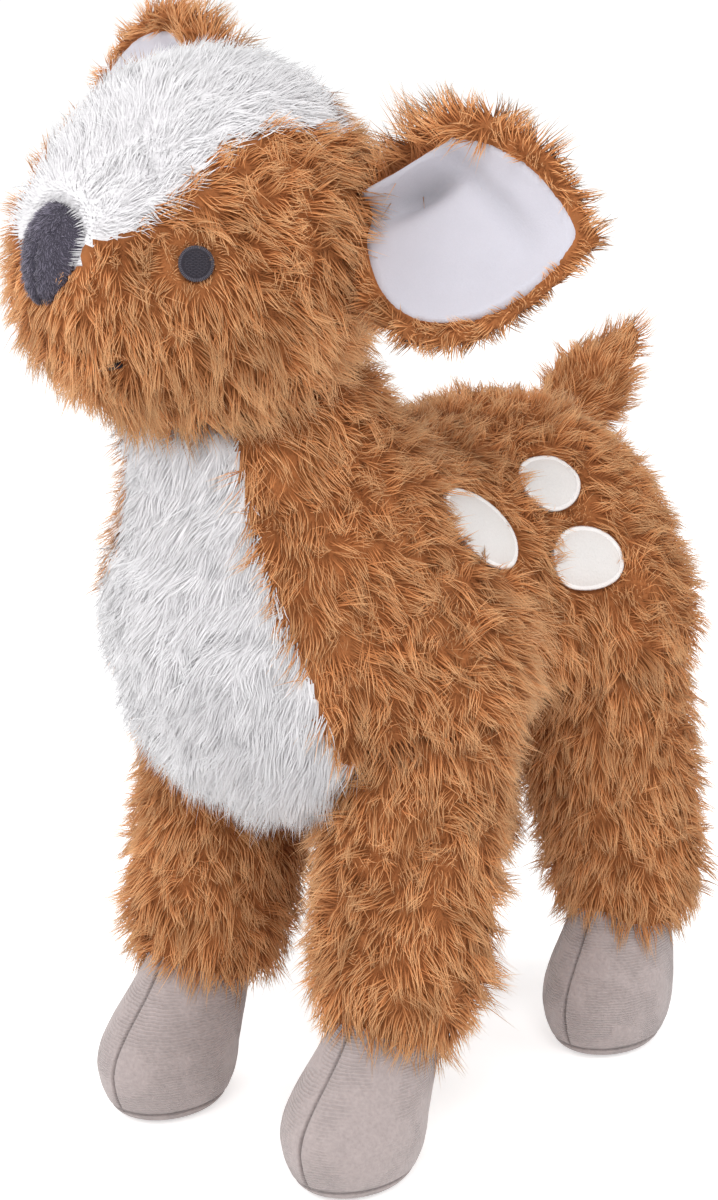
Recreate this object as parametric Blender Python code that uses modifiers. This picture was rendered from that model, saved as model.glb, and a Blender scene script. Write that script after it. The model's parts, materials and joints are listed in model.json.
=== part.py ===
"""A standing plush deer, built from the pieces it is sewn from.

Lengths are in metres and angles in degrees. The deer faces -Y, its left side is +X and +Z is up.
A stuffed form is the smooth envelope of a few lumps. Its cover is made of panels cast onto that
envelope, and its stuffing is cast onto the same envelope, one cover's thickness further in.
The sizes are those of the woven ground that carries the pile.
"""

from math import cos, radians, sin

import bmesh
import bpy
import numpy as np
from mathutils import Euler, Matrix, Vector

# Cloth and seams
COVER_THICKNESS = 0.0025
SEAM_GAP = 0.0004
STUFFING_GAP = 0.0010
SEAT_GAP = 0.0003
SOCKET_GAP = 0.0010
SOLE_CUT = 0.0005
WELD = 0.00001

# Barrel of the body
BODY_HEIGHT = 0.1345
CHEST_FORWARD = 0.0360
CHEST_ABOVE_BODY = 0.0030
CHEST_HALF_WIDTH = 0.0410
CHEST_HALF_LENGTH = 0.0410
CHEST_HALF_HEIGHT = 0.0470
BARREL_FORWARD = 0.0020
BARREL_HALF_WIDTH = 0.0390
BARREL_HALF_LENGTH = 0.0450
BARREL_HALF_HEIGHT = 0.0400
RUMP_BACK = 0.0430
RUMP_HALF_WIDTH = 0.0420
RUMP_HALF_LENGTH = 0.0410
RUMP_HALF_HEIGHT = 0.0400
BODY_BLEND = 0.0120

# Neck
NECK_BASE_RADIUS = 0.0320
NECK_TOP_RADIUS = 0.0260
NECK_BASE_FORWARD = 0.0380
NECK_BASE_ABOVE_BODY = 0.0130
NECK_TOP_FORWARD = 0.0500
NECK_TOP_ABOVE_BODY = 0.0520
NAPE_FORWARD = 0.0060
NAPE_ABOVE_BODY = 0.0630
NAPE_TO_BODY_AXIS = 0.0560
NAPE_TO_NECK_AXIS = 0.0400
NECK_LEAN = 86.0
NECK_BALL_RADIUS = 0.0170
NECK_BALL_FORWARD = 0.0530
NECK_BALL_ABOVE_BODY = 0.0590

# Bib and belly, as half angles about the body's own axis
BIB_NECK_HALF_ANGLE = 30.0
BIB_CHEST_HALF_ANGLE = 37.0
BIB_FOOT_HALF_ANGLE = 28.0
BIB_END_LEAN = 10.0
BELLY_HALF_ANGLE = 14.0
RUMP_HOLE_ANGLE = 86.0

# Shoulders and haunches, the lumps of the body that the legs are set into
SHOULDER_ABOVE_HIP = 0.0160
CUFF_ABOVE_HIP = 0.0070
HAUNCH_ABOVE_HIP = 0.0140
SHOULDER_WALL = 0.0036
SHOULDER_TOP_RADIUS = 0.0210
HAUNCH_TOP_RADIUS = 0.0250
SHOULDER_TOP_SIDE = 0.0220
HAUNCH_TOP_SIDE = 0.0220
HEM_FLARE = 0.0080
HEM_FLARE_START_SHARE = 0.6

# Legs
FRONT_HIP_FORWARD = 0.0240
REAR_HIP_BACK = 0.0470
HIP_SIDE = 0.0290
HIP_BELOW_BODY = 0.0220
FRONT_HIP_RADIUS = 0.0208
REAR_HIP_RADIUS = 0.0210
FRONT_ANKLE_FORWARD = 0.0350
REAR_ANKLE_BACK = 0.0620
ANKLE_SIDE = 0.0318
ANKLE_HEIGHT = 0.0490
FRONT_ANKLE_RADIUS = 0.0185
REAR_ANKLE_RADIUS = 0.0175
LEG_SWING = 12.0

# Hooves
HOOF_HALF_WIDTH = 0.0165
HOOF_HALF_LENGTH = 0.0190
HOOF_HALF_HEIGHT = 0.0190
FRONT_HOOF_FORWARD_OF_ANKLE = 0.0150
REAR_HOOF_FORWARD_OF_ANKLE = 0.0060
TOE_HALF_WIDTH = 0.0140
TOE_HALF_LENGTH = 0.0120
TOE_HALF_HEIGHT = 0.0105
TOE_FORWARD = 0.0090
HOOF_BLEND = 0.0080

# Head, in its own frame about its middle
HEAD_FORWARD = 0.0145
HEAD_ABOVE_NECK_BALL = 0.0345
HEAD_YAW = -15.0
HEAD_PITCH = -6.0
HEAD_ROLL = 12.0
CRANIUM_BACK = 0.0060
CRANIUM_UP = 0.0030
CRANIUM_HALF_WIDTH = 0.0390
CRANIUM_HALF_LENGTH = 0.0350
CRANIUM_HALF_HEIGHT = 0.0360
JOWL_DOWN = 0.0110
JOWL_HALF_WIDTH = 0.0380
JOWL_HALF_LENGTH = 0.0350
JOWL_HALF_HEIGHT = 0.0280
MUZZLE_FORWARD = 0.0126
MUZZLE_DOWN = 0.0050
MUZZLE_HALF_WIDTH = 0.0235
MUZZLE_HALF_LENGTH = 0.0200
MUZZLE_HALF_HEIGHT = 0.0190
HEAD_BLEND = 0.0100
HEAD_TURN = 20.0
HEAD_NOD = 8.0

# Panels of the head, as angles about its middle
BLAZE_START = -8.0
BLAZE_BROW = 60.0
BLAZE_END = 118.0
NECK_EDGE = 250.0
BLAZE_NOSE_HALF_ANGLE = 26.0
BLAZE_BROW_HALF_ANGLE = 38.0
CROWN_HALF_ANGLE = 32.0
CHIN_HALF_ANGLE = 18.0

# Nose, eyes and mouth
NOSE_HALF_WIDTH = 0.0114
NOSE_HALF_HEIGHT = 0.0120
NOSE_THICKNESS = 0.0035
NOSE_TAPER_SHARE = 0.35
NOSE_DROP_ANGLE = 5.0
NOSE_RIM_SHARE = 0.35
EYE_RADIUS = 0.0038
EYE_THICKNESS = 0.0016
EYE_RIM_SHARE = 0.6
EYE_SIDE_ANGLE = 59.5
EYE_TURN_ANGLE = 13.5
MOUTH_THREAD_RADIUS = 0.0007
MOUTH_HALF_ANGLE = 33.0
MOUTH_DROP_ANGLE = 44.0
MOUTH_LIFT_ANGLE = 4.0

# Ears
EAR_LENGTH = 0.0575
EAR_ROOT = 0.0100
EAR_HALF_WIDTH = 0.0240
EAR_THICKNESS = 0.0025
LINING_THICKNESS = 0.0012
LINING_INSET = 0.0030
EAR_CUP = 0.0080
EAR_BEND = 0.0050
EAR_BASE_SHARE = 0.10
EAR_FULLNESS_SHARE = 0.75
EAR_GAP = 0.0004
EAR_SIDE_ANGLE = 51.0
EAR_TURN_ANGLE = 149.0
LEFT_EAR_SWEEP = 26.0
RIGHT_EAR_SWEEP = 7.0
LEFT_EAR_LIFT = 14.0
RIGHT_EAR_LIFT = -1.0
EAR_FACE_UP = 17.0
EAR_SWING = 18.0

# Tail
TAIL_LENGTH = 0.0400
TAIL_ROOT_RADIUS = 0.0070
TAIL_MIDDLE_RADIUS = 0.0090
TAIL_MIDDLE_SHARE = 0.42
TAIL_TIP_RADIUS = 0.0026
TAIL_BLEND = 0.0060
TAIL_SEAT_BACK = 0.0690
TAIL_SEAT_ABOVE_BODY = 0.0300
TAIL_RISE = 32.0
TAIL_SWING = 20.0

# Spots on the haunch, by angles backward and upward about the middle of the loins
LOIN_BACK = 0.0200
SPOT_THICKNESS = 0.0012
SPOT_RIM_SHARE = 0.8
SPOT_SEAT_GAP = 0.0007
SPOT_EDGE_RADIUS = 0.0007
UPPER_SPOT_RADII = (0.0085, 0.0072)
FRONT_SPOT_RADII = (0.0125, 0.0070)
REAR_SPOT_RADII = (0.0098, 0.0080)
UPPER_SPOT_AIM = (9.0, 41.0, 0.0)
FRONT_SPOT_AIM = (-37.0, 25.0, -42.0)
REAR_SPOT_AIM = (7.5, 12.0, -8.0)

# How far a ray is followed from a form's middle to its skin
CAST_REACH = 2.5 * (RUMP_BACK + RUMP_HALF_LENGTH)

# Shares of the body's length, from the rump, where its end cap stops and its bend starts
CAP_SHARE = 0.24
NARROWEST_CAP_SHARE = 0.02
BEND_SHARE = 0.50

# How finely the forms are drawn
BODY_RINGS = 21
BODY_ROUND = 28
BIB_COLUMNS, BIB_ROWS = 8, 10
BELLY_COLUMNS, BELLY_ROWS = 4, 10
STUFFING_RINGS = 15
STUFFING_ROUND = 18
HEAD_ROUND = 24
HEAD_ROWS = 5
STRIP_COLUMNS, STRIP_ROWS, CHIN_ROWS = 7, 9, 8
LEG_ROUND = 14
LEG_BANDS = (3, 3, 3)
TAIL_ROUND = 12
TAIL_BANDS = (3, 5, 2)
SOCKET_ROUND = 20
SOCKET_RINGS = 12
HOOF_ROUND = 16
HOOF_RINGS = 10
BALL_ROUND = 18
BALL_RINGS = 12
HEAD_SPACE_ROUND = 28
HEAD_SPACE_RINGS = 20
EAR_COLUMNS, EAR_ROWS = 9, 12
LINING_COLUMNS, LINING_ROWS = 7, 10
NOSE_ROUND, NOSE_RINGS = 20, 5
EYE_ROUND, EYE_RINGS = 16, 3
SPOT_ROUND, SPOT_RINGS = 18, 2
MOUTH_POINTS = 15
EDGE_POINTS, EDGE_SIDES = 20, 5
CAST_HALVINGS = 24
ROOT_CASTS = 4

LEFT, RIGHT = 1, -1


def lump(points, centre, halves):
    """Distance from points to the skin of an ellipsoid, near enough, and negative inside it."""
    scaled = (points - np.array(centre)) / np.array(halves)
    reach = np.linalg.norm(scaled, axis=-1)
    slope = np.linalg.norm(scaled / np.array(halves), axis=-1)
    return reach * (reach - 1) / np.maximum(slope, 1e-9)


def taper(points, start, start_radius, end, end_radius):
    """The same distance for a tapered limb between two balls."""
    start, end = np.array(start), np.array(end)
    along = end - start
    share = np.clip((points - start) @ along / (along @ along), 0, 1)
    middle = start + share[..., None] * along
    radius = start_radius + share * (end_radius - start_radius)
    return np.linalg.norm(points - middle, axis=-1) - radius


def blend(width, *levels):
    """Joins forms with a soft fillet of the given width."""
    joined = levels[0]
    for level in levels[1:]:
        near = np.clip(width - np.abs(joined - level), 0, None) / width
        joined = np.minimum(joined, level) - near * near * width / 4
    return joined


def body_core(points):
    """Chest, barrel, rump and neck."""
    chest_at = (0, -CHEST_FORWARD, BODY_HEIGHT + CHEST_ABOVE_BODY)
    barrel_at = (0, -BARREL_FORWARD, BODY_HEIGHT)
    rump_at = (0, RUMP_BACK, BODY_HEIGHT)
    neck_base = (0, -NECK_BASE_FORWARD, BODY_HEIGHT + NECK_BASE_ABOVE_BODY)
    neck_top = (0, -NECK_TOP_FORWARD, BODY_HEIGHT + NECK_TOP_ABOVE_BODY)
    return blend(
        BODY_BLEND,
        lump(points, barrel_at, (BARREL_HALF_WIDTH, BARREL_HALF_LENGTH, BARREL_HALF_HEIGHT)),
        lump(points, chest_at, (CHEST_HALF_WIDTH, CHEST_HALF_LENGTH, CHEST_HALF_HEIGHT)),
        lump(points, rump_at, (RUMP_HALF_WIDTH, RUMP_HALF_LENGTH, RUMP_HALF_HEIGHT)),
        taper(points, neck_base, NECK_BASE_RADIUS, neck_top, NECK_TOP_RADIUS),
    )


def body_form(points):
    """The whole body, with the shoulders and haunches that wrap the legs' tops."""
    hip_height = BODY_HEIGHT - HIP_BELOW_BODY
    sides = np.stack((np.abs(points[..., 0]), points[..., 1], points[..., 2]), axis=-1)
    front_cuff = (HIP_SIDE, -FRONT_HIP_FORWARD, hip_height + CUFF_ABOVE_HIP)
    rear_cuff = (HIP_SIDE, REAR_HIP_BACK, hip_height + CUFF_ABOVE_HIP)
    shoulder = (SHOULDER_TOP_SIDE, -FRONT_HIP_FORWARD, hip_height + SHOULDER_ABOVE_HIP)
    haunch = (HAUNCH_TOP_SIDE, REAR_HIP_BACK, hip_height + HAUNCH_ABOVE_HIP)
    return blend(
        BODY_BLEND,
        body_core(points),
        taper(sides, shoulder, SHOULDER_TOP_RADIUS, front_cuff, FRONT_HIP_RADIUS + SHOULDER_WALL),
        taper(sides, haunch, HAUNCH_TOP_RADIUS, rear_cuff, REAR_HIP_RADIUS + SHOULDER_WALL),
    )


def head_form(points):
    """Cranium, jowls and muzzle, about the head's middle."""
    return blend(
        HEAD_BLEND,
        lump(
            points,
            (0, CRANIUM_BACK, CRANIUM_UP),
            (CRANIUM_HALF_WIDTH, CRANIUM_HALF_LENGTH, CRANIUM_HALF_HEIGHT),
        ),
        lump(points, (0, 0, -JOWL_DOWN), (JOWL_HALF_WIDTH, JOWL_HALF_LENGTH, JOWL_HALF_HEIGHT)),
        lump(
            points,
            (0, -MUZZLE_FORWARD, -MUZZLE_DOWN),
            (MUZZLE_HALF_WIDTH, MUZZLE_HALF_LENGTH, MUZZLE_HALF_HEIGHT),
        ),
    )


def cast(form, origins, directions, level=0.0):
    """Where rays from inside a form first reach the given level of it."""
    origins = np.broadcast_to(np.asarray(origins, float), directions.shape)
    steps = 80
    near = np.zeros(directions.shape[:-1])
    met = np.zeros(near.shape, bool)
    for step in range(1, steps + 1):
        far = CAST_REACH * step / steps
        outside = form(origins + far * directions) > level
        met |= outside
        near = np.where(met, near, far)
    low, high = near, near + CAST_REACH / steps
    for _ in range(CAST_HALVINGS):
        middle = (low + high) / 2
        inside = form(origins + middle[..., None] * directions) < level
        low = np.where(inside, middle, low)
        high = np.where(inside, high, middle)
    return origins + high[..., None] * directions


def material(name, colour, roughness):
    """A plain cloth or thread finish."""
    finish = bpy.data.materials.new(name)
    finish.use_nodes = True
    shader = finish.node_tree.nodes["Principled BSDF"]
    shader.inputs["Base Color"].default_value = (*colour, 1)
    shader.inputs["Roughness"].default_value = roughness
    shader.inputs["Metallic"].default_value = 0
    return finish


for old in list(bpy.data.objects):
    bpy.data.objects.remove(old)
DEER = bpy.data.collections.new("plush_deer")
CUTTERS = bpy.data.collections.new("cutters")
for collection in (DEER, CUTTERS):
    bpy.context.scene.collection.children.link(collection)

BROWN_PLUSH = material("brown_plush", (0.36, 0.14, 0.055), 0.9)
WHITE_PLUSH = material("white_plush", (0.72, 0.70, 0.70), 0.9)
WHITE_VELOUR = material("white_velour", (0.72, 0.71, 0.76), 0.85)
GREY_VELOUR = material("grey_velour", (0.12, 0.11, 0.14), 0.85)
HOOF_VELOUR = material("hoof_velour", (0.48, 0.41, 0.39), 0.85)
DARK_THREAD = material("dark_thread", (0.05, 0.04, 0.06), 0.6)
WHITE_THREAD = material("white_thread", (0.80, 0.79, 0.80), 0.5)
POLYESTER_FILL = material("polyester_fill", (0.85, 0.85, 0.83), 0.95)


def frame(name, parent, location=(0, 0, 0), rotation=(0, 0, 0)):
    """An empty that carries pieces, turned by angles in degrees."""
    empty = bpy.data.objects.new(name, None)
    empty.location = location
    empty.rotation_euler = Euler([radians(angle) for angle in rotation])
    empty.parent = parent
    DEER.objects.link(empty)
    return empty


def place(name, mesh, carrier, finish=None):
    """An object in its carrier's frame: a piece with a finish, or a cutter without one."""
    piece = bpy.data.objects.new(name, mesh)
    piece.parent = carrier
    if finish:
        mesh.materials.append(finish)
        DEER.objects.link(piece)
    else:
        CUTTERS.objects.link(piece)
        piece.hide_render = True
        piece.display_type = "WIRE"
    mesh.shade_smooth()
    return piece


def mesh_from(bm, name):
    bmesh.ops.remove_doubles(bm, verts=bm.verts, dist=WELD)
    bmesh.ops.recalc_face_normals(bm, faces=bm.faces)
    mesh = bpy.data.meshes.new(name)
    bm.to_mesh(mesh)
    bm.free()
    return mesh


def ball_mesh(name, shape, around, rings):
    """A globe whose points are moved out to where shape says, along their own directions."""
    bm = bmesh.new()
    bmesh.ops.create_uvsphere(bm, u_segments=around, v_segments=rings, radius=1)
    directions = np.array([vertex.co.normalized() for vertex in bm.verts])
    for vertex, point in zip(bm.verts, shape(directions)):
        vertex.co = Vector(point)
    return mesh_from(bm, name)


def loft(name, grids, wrap_columns=False):
    """A closed body between an outer and an inner grid of points, with rims round its edges.

    An end row whose points all meet is a pole, which has no rim.
    """
    bm = bmesh.new()
    skins = [[[bm.verts.new(point) for point in row] for row in grid] for grid in grids]
    rows, columns = len(skins[0]), len(skins[0][0])
    spans = columns if wrap_columns else columns - 1
    for skin in skins:
        for i in range(rows - 1):
            for j in range(spans):
                k = (j + 1) % columns
                bm.faces.new((skin[i][j], skin[i][k], skin[i + 1][k], skin[i + 1][j]))
    outer, inner = skins
    for i in (0, rows - 1):
        if np.ptp(grids[0][i], axis=0).max() < WELD:
            continue
        for j in range(spans):
            k = (j + 1) % columns
            bm.faces.new((outer[i][j], outer[i][k], inner[i][k], inner[i][j]))
    if not wrap_columns:
        for j in (0, columns - 1):
            for i in range(rows - 1):
                bm.faces.new((outer[i][j], outer[i + 1][j], inner[i + 1][j], inner[i][j]))
    return mesh_from(bm, name)


def cut(piece, *cutters):
    """Takes the cutters out of a piece."""
    for cutter in cutters:
        modifier = piece.modifiers.new(cutter.name, "BOOLEAN")
        modifier.object = cutter
        modifier.operation = "DIFFERENCE"
        modifier.solver = "EXACT"


def thicken(piece, thickness, side=-1):
    """Gives an open sheet or a hollow form its wall, inwards unless side is 1."""
    wall = piece.modifiers.new("wall", "SOLIDIFY")
    wall.thickness = thickness
    wall.offset = side
    wall.use_even_offset = True
    return wall


# Frames: the deer stands in its own, and each moving piece has one on its joint's axis

DEER_FRAME = frame("deer", None)
NECK_BALL_AT = (0, -NECK_BALL_FORWARD, BODY_HEIGHT + NECK_BALL_ABOVE_BODY)
NECK_FRAME = frame("head_turn_axis", DEER_FRAME, NECK_BALL_AT, (0, 0, HEAD_YAW))
NOD_FRAME = frame("head_nod_axis", NECK_FRAME)
HEAD_AT = (0, -HEAD_FORWARD, HEAD_ABOVE_NECK_BALL)
HEAD_FRAME = frame("head_middle", NOD_FRAME, HEAD_AT, (HEAD_PITCH, HEAD_ROLL, 0))
HEAD_TILT = Euler((radians(HEAD_PITCH), radians(HEAD_ROLL), 0)).to_matrix()


# Body: two side panels, a white bib and a belly gusset over one stuffing

def spine(share):
    """Middle, lean and back tilt of the body's section, from the rump (0) to the neck (1)."""
    rump = np.array((0, RUMP_BACK, BODY_HEIGHT))
    nape = np.array((0, -NAPE_FORWARD, BODY_HEIGHT + NAPE_ABOVE_BODY))
    bend = nape - np.array((0, 0, NAPE_TO_BODY_AXIS))
    if share < CAP_SHARE:
        return rump, 0.0, RUMP_HOLE_ANGLE * (1 - share / CAP_SHARE)
    if share < BEND_SHARE:
        step = (share - CAP_SHARE) / (BEND_SHARE - CAP_SHARE)
        return rump + step * (bend - rump), 0.0, 0.0
    step = (share - BEND_SHARE) / (1 - BEND_SHARE)
    lean = step * NECK_LEAN
    distance = NAPE_TO_BODY_AXIS + step * (NAPE_TO_NECK_AXIS - NAPE_TO_BODY_AXIS)
    middle = nape - distance * np.array((0, sin(radians(lean)), cos(radians(lean))))
    return middle, lean, 0.0


def body_grid(shares, angles_at, level=0.0, form=body_form):
    """Rows of points on the body, at spine shares, by angles from the back round to the left."""
    rows = []
    for share in shares:
        middle, lean, tilt = spine(share)
        lean, tilt = radians(lean), radians(tilt)
        angles = np.radians(angles_at(share))
        back = np.array((0, sin(lean), cos(lean)))
        forward = np.array((0, -cos(lean), sin(lean)))
        left = np.array((1.0, 0, 0))
        radial = np.outer(np.cos(angles), back) + np.outer(np.sin(angles), left)
        rays = cos(tilt) * radial - sin(tilt) * forward
        rows.append(cast(form, middle, rays, level))
    return np.array(rows)


def belly_half_angle(share):
    """Half angle of the white bib and, behind it, of the belly gusset."""
    _, lean, _ = spine(share)
    leans = (BIB_END_LEAN, 2 * BIB_END_LEAN, NECK_LEAN / 2, NECK_LEAN)
    halves = (BELLY_HALF_ANGLE, BIB_FOOT_HALF_ANGLE, BIB_CHEST_HALF_ANGLE, BIB_NECK_HALF_ANGLE)
    return float(np.interp(lean, leans, halves))


def seam_angle(share):
    """Half the angle that a seam's gap takes at a section."""
    middle, _, tilt = spine(share)
    radius = BARREL_HALF_WIDTH * max(cos(radians(tilt)), NARROWEST_CAP_SHARE)
    return np.degrees(SEAM_GAP / 2 / radius)


def body_panel(name, finish, shares, angles_at):
    grids = [body_grid(shares, angles_at, level) for level in (0, -COVER_THICKNESS)]
    return place(name, loft(name, grids), DEER_FRAME, finish)


BIB_END_SHARE = BEND_SHARE + (1 - BEND_SHARE) * BIB_END_LEAN / NECK_LEAN
BODY_SHARES = np.linspace(0, 1, BODY_RINGS)
BEND_ARC = radians(NECK_LEAN) * (NAPE_TO_BODY_AXIS + CHEST_HALF_HEIGHT)
SEAM_SHARE = (1 - BEND_SHARE) * SEAM_GAP / BEND_ARC

side_columns = np.linspace(0, 1, BODY_ROUND // 2 - 2)
bib_columns = np.linspace(-1, 1, BIB_COLUMNS)
belly_columns = np.linspace(-1, 1, BELLY_COLUMNS)


def left_angles(share):
    start = seam_angle(share)
    end = 180 - belly_half_angle(share) - seam_angle(share)
    return start + (end - start) * side_columns


def middle_angles(columns):
    def angles(share):
        half = belly_half_angle(share) - seam_angle(share)
        return 180 + half * columns
    return angles


body_side_left = body_panel("body_side_left", BROWN_PLUSH, BODY_SHARES, left_angles)
body_side_right = body_panel(
    "body_side_right", BROWN_PLUSH, BODY_SHARES, lambda share: -left_angles(share)
)
bib_shares = np.linspace(BIB_END_SHARE + SEAM_SHARE, 1, BIB_ROWS)
belly_shares = np.linspace(0, BIB_END_SHARE - SEAM_SHARE, BELLY_ROWS)
chest_bib = body_panel("chest_bib", WHITE_PLUSH, bib_shares, middle_angles(bib_columns))
belly_gusset = body_panel("belly_gusset", BROWN_PLUSH, belly_shares, middle_angles(belly_columns))


def body_stuffing_mesh():
    """The filling, closed at the rump and over the neck."""
    level = -COVER_THICKNESS - STUFFING_GAP
    around = np.linspace(0, 360, STUFFING_ROUND, endpoint=False)
    shares = np.linspace(0, 1, STUFFING_RINGS)
    grid = list(body_grid(shares, lambda share: around, level, body_core))
    middle, lean, _ = spine(1)
    up = np.array((0, -cos(radians(lean)), sin(radians(lean))))
    for tilt in (30, 60):
        rim = grid[STUFFING_RINGS - 1] - middle
        rim = rim / np.linalg.norm(rim, axis=-1, keepdims=True)
        rays = cos(radians(tilt)) * rim + sin(radians(tilt)) * up
        rays = rays / np.linalg.norm(rays, axis=-1, keepdims=True)
        grid.append(cast(body_core, middle, rays, level))
    bm = bmesh.new()
    rows = [[bm.verts.new(point) for point in row] for row in grid]
    for lower, upper in zip(rows, rows[1:]):
        for j in range(STUFFING_ROUND):
            k = (j + 1) % STUFFING_ROUND
            bm.faces.new((lower[j], lower[k], upper[k], upper[j]))
    bm.faces.new(rows[0])
    bm.faces.new(rows[-1])
    return mesh_from(bm, "body_stuffing")


body_stuffing = place("body_stuffing", body_stuffing_mesh(), DEER_FRAME, POLYESTER_FILL)


# Legs: a swelling form from hip to ankle, its cover and stuffing, and a velour hoof

def limb_grid(form, start, end, around, bands, level=0.0):
    """Rings on a limb's form, from the pole above its start ball to the pole below its end ball.

    bands holds how many rings fall on the start ball, along the limb and on the end ball.
    """
    start, end = np.array(start), np.array(end)
    down = (end - start) / np.linalg.norm(end - start)
    side = np.cross(down, (0, 1, 0))
    side = side / np.linalg.norm(side)
    front = np.cross(side, down)
    angles = np.linspace(0, 2 * np.pi, around, endpoint=False)
    radial = np.outer(np.cos(angles), side) + np.outer(np.sin(angles), front)
    first, middle, last = bands
    rings = [(start, -tilt) for tilt in np.linspace(90, 0, first + 1)[1:]]
    rings += [(start + step * (end - start), 0) for step in np.linspace(0, 1, middle + 2)[1:-1]]
    rings += [(end, tilt) for tilt in np.linspace(0, 90, last + 1)[:-1]]
    rows = []
    for origin, tilt in rings:
        rays = cos(radians(tilt)) * radial + sin(radians(tilt)) * down
        rows.append(cast(form, origin, rays, level))
    poles = [cast(form, start, -down[None, :], level), cast(form, end, down[None, :], level)]
    return rows, [pole[0] for pole in poles]


def limb_mesh(name, *grid):
    """A closed skin over a limb's rings and poles."""
    rows, poles = limb_grid(*grid)
    bm = bmesh.new()
    rings = [[bm.verts.new(point) for point in row] for row in rows]
    around = len(rings[0])
    for upper, lower in zip(rings, rings[1:]):
        for j in range(around):
            k = (j + 1) % around
            bm.faces.new((upper[j], upper[k], lower[k], lower[j]))
    for ring, pole in ((rings[0], poles[0]), (rings[-1], poles[1])):
        tip = bm.verts.new(pole)
        for j in range(around):
            bm.faces.new((ring[j], ring[(j + 1) % around], tip))
    return mesh_from(bm, name)


def swept_shape(form, rotations, gap):
    """The space that a form needs round its frame's middle when it turns about that middle."""
    def shape(directions):
        reaches = []
        for rotation in rotations:
            rays = directions @ np.array(rotation)
            reaches.append(np.linalg.norm(cast(form, (0, 0, 0), rays), axis=-1))
        return directions * (np.max(reaches, axis=0) + gap)[:, None]
    return shape


def swings(axis, limit, count=5):
    return [Matrix.Rotation(radians(angle), 3, axis) for angle in np.linspace(-limit, limit, count)]


def make_leg(name, side, hip_y, ankle_y, hip_radius, ankle_radius, hoof_forward):
    """One leg about its hip, and the socket that it needs in the body."""
    hip_height = BODY_HEIGHT - HIP_BELOW_BODY
    carrier = frame(name + "_hip_axis", DEER_FRAME, (side * HIP_SIDE, hip_y, hip_height))
    hip = (0, 0, 0)
    ankle = (side * (ANKLE_SIDE - HIP_SIDE), ankle_y - hip_y, ANKLE_HEIGHT - hip_height)
    hoof_at = (ankle[0], ankle[1] - hoof_forward, HOOF_HALF_HEIGHT - SOLE_CUT - hip_height)
    toe_at = (0, -TOE_FORWARD, TOE_HALF_HEIGHT - HOOF_HALF_HEIGHT)

    def leg_form(points):
        return taper(points, hip, hip_radius, ankle, ankle_radius)

    def hoof_form(points):
        heel = lump(points, (0, 0, 0), (HOOF_HALF_WIDTH, HOOF_HALF_LENGTH, HOOF_HALF_HEIGHT))
        toe = lump(points, toe_at, (TOE_HALF_WIDTH, TOE_HALF_LENGTH, TOE_HALF_HEIGHT))
        return blend(HOOF_BLEND, heel, toe)

    def hoof_shape(level):
        def shape(directions):
            points = cast(hoof_form, (0, 0, 0), directions, level)
            points[:, 2] = np.maximum(points[:, 2], SOLE_CUT - HOOF_HALF_HEIGHT - level)
            return points + np.array(hoof_at)
        return shape

    cover_mesh = limb_mesh(name, leg_form, hip, ankle, LEG_ROUND, LEG_BANDS)
    cover = place(name + "_cover", cover_mesh, carrier, BROWN_PLUSH)
    thicken(cover, COVER_THICKNESS)
    inside = -COVER_THICKNESS - STUFFING_GAP
    stuffing_mesh = limb_mesh(name, leg_form, hip, ankle, LEG_ROUND, LEG_BANDS, inside)
    stuffing = place(name + "_stuffing", stuffing_mesh, carrier, POLYESTER_FILL)
    hoof_mesh = ball_mesh(name, hoof_shape(0.0), HOOF_ROUND, HOOF_RINGS)
    place(name + "_hoof", hoof_mesh, carrier, HOOF_VELOUR)
    hoof_space = ball_mesh(name, hoof_shape(SEAT_GAP), HOOF_ROUND, HOOF_RINGS)
    hoof_cutter = place(name + "_hoof_cutter", hoof_space, carrier)
    cut(cover, hoof_cutter)
    cut(stuffing, hoof_cutter)
    sweep = swept_shape(leg_form, swings("X", LEG_SWING), SOCKET_GAP)

    def flared_sweep(directions):
        outward = np.clip(2 * side * directions[:, 0] + HEM_FLARE_START_SHARE, 0, 1)
        outward = outward * (directions[:, 2] < 0)
        return sweep(directions) + directions * (HEM_FLARE * outward)[:, None]

    socket_mesh = ball_mesh(name, flared_sweep, SOCKET_ROUND, SOCKET_RINGS)
    return place(name + "_socket", socket_mesh, carrier)


sockets = []
for side, side_name in ((LEFT, "left"), (RIGHT, "right")):
    sockets.append(make_leg(
        "front_leg_" + side_name, side, -FRONT_HIP_FORWARD, -FRONT_ANKLE_FORWARD,
        FRONT_HIP_RADIUS, FRONT_ANKLE_RADIUS, FRONT_HOOF_FORWARD_OF_ANKLE,
    ))
    sockets.append(make_leg(
        "rear_leg_" + side_name, side, REAR_HIP_BACK, REAR_ANKLE_BACK,
        REAR_HIP_RADIUS, REAR_ANKLE_RADIUS, REAR_HOOF_FORWARD_OF_ANKLE,
    ))


# Tail: a tapered form set into the rump

TAIL_AT = (0, TAIL_SEAT_BACK, BODY_HEIGHT + TAIL_SEAT_ABOVE_BODY)
TAIL_FRAME = frame("tail_axis", DEER_FRAME, TAIL_AT)
tail_root = np.zeros(3)
tail_tip = TAIL_LENGTH * np.array((0, cos(radians(TAIL_RISE)), sin(radians(TAIL_RISE))))
tail_middle = TAIL_MIDDLE_SHARE * tail_tip


def tail_form(points):
    return blend(
        TAIL_BLEND,
        taper(points, tail_root, TAIL_ROOT_RADIUS, tail_middle, TAIL_MIDDLE_RADIUS),
        taper(points, tail_middle, TAIL_MIDDLE_RADIUS, tail_tip, TAIL_TIP_RADIUS),
    )


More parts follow.
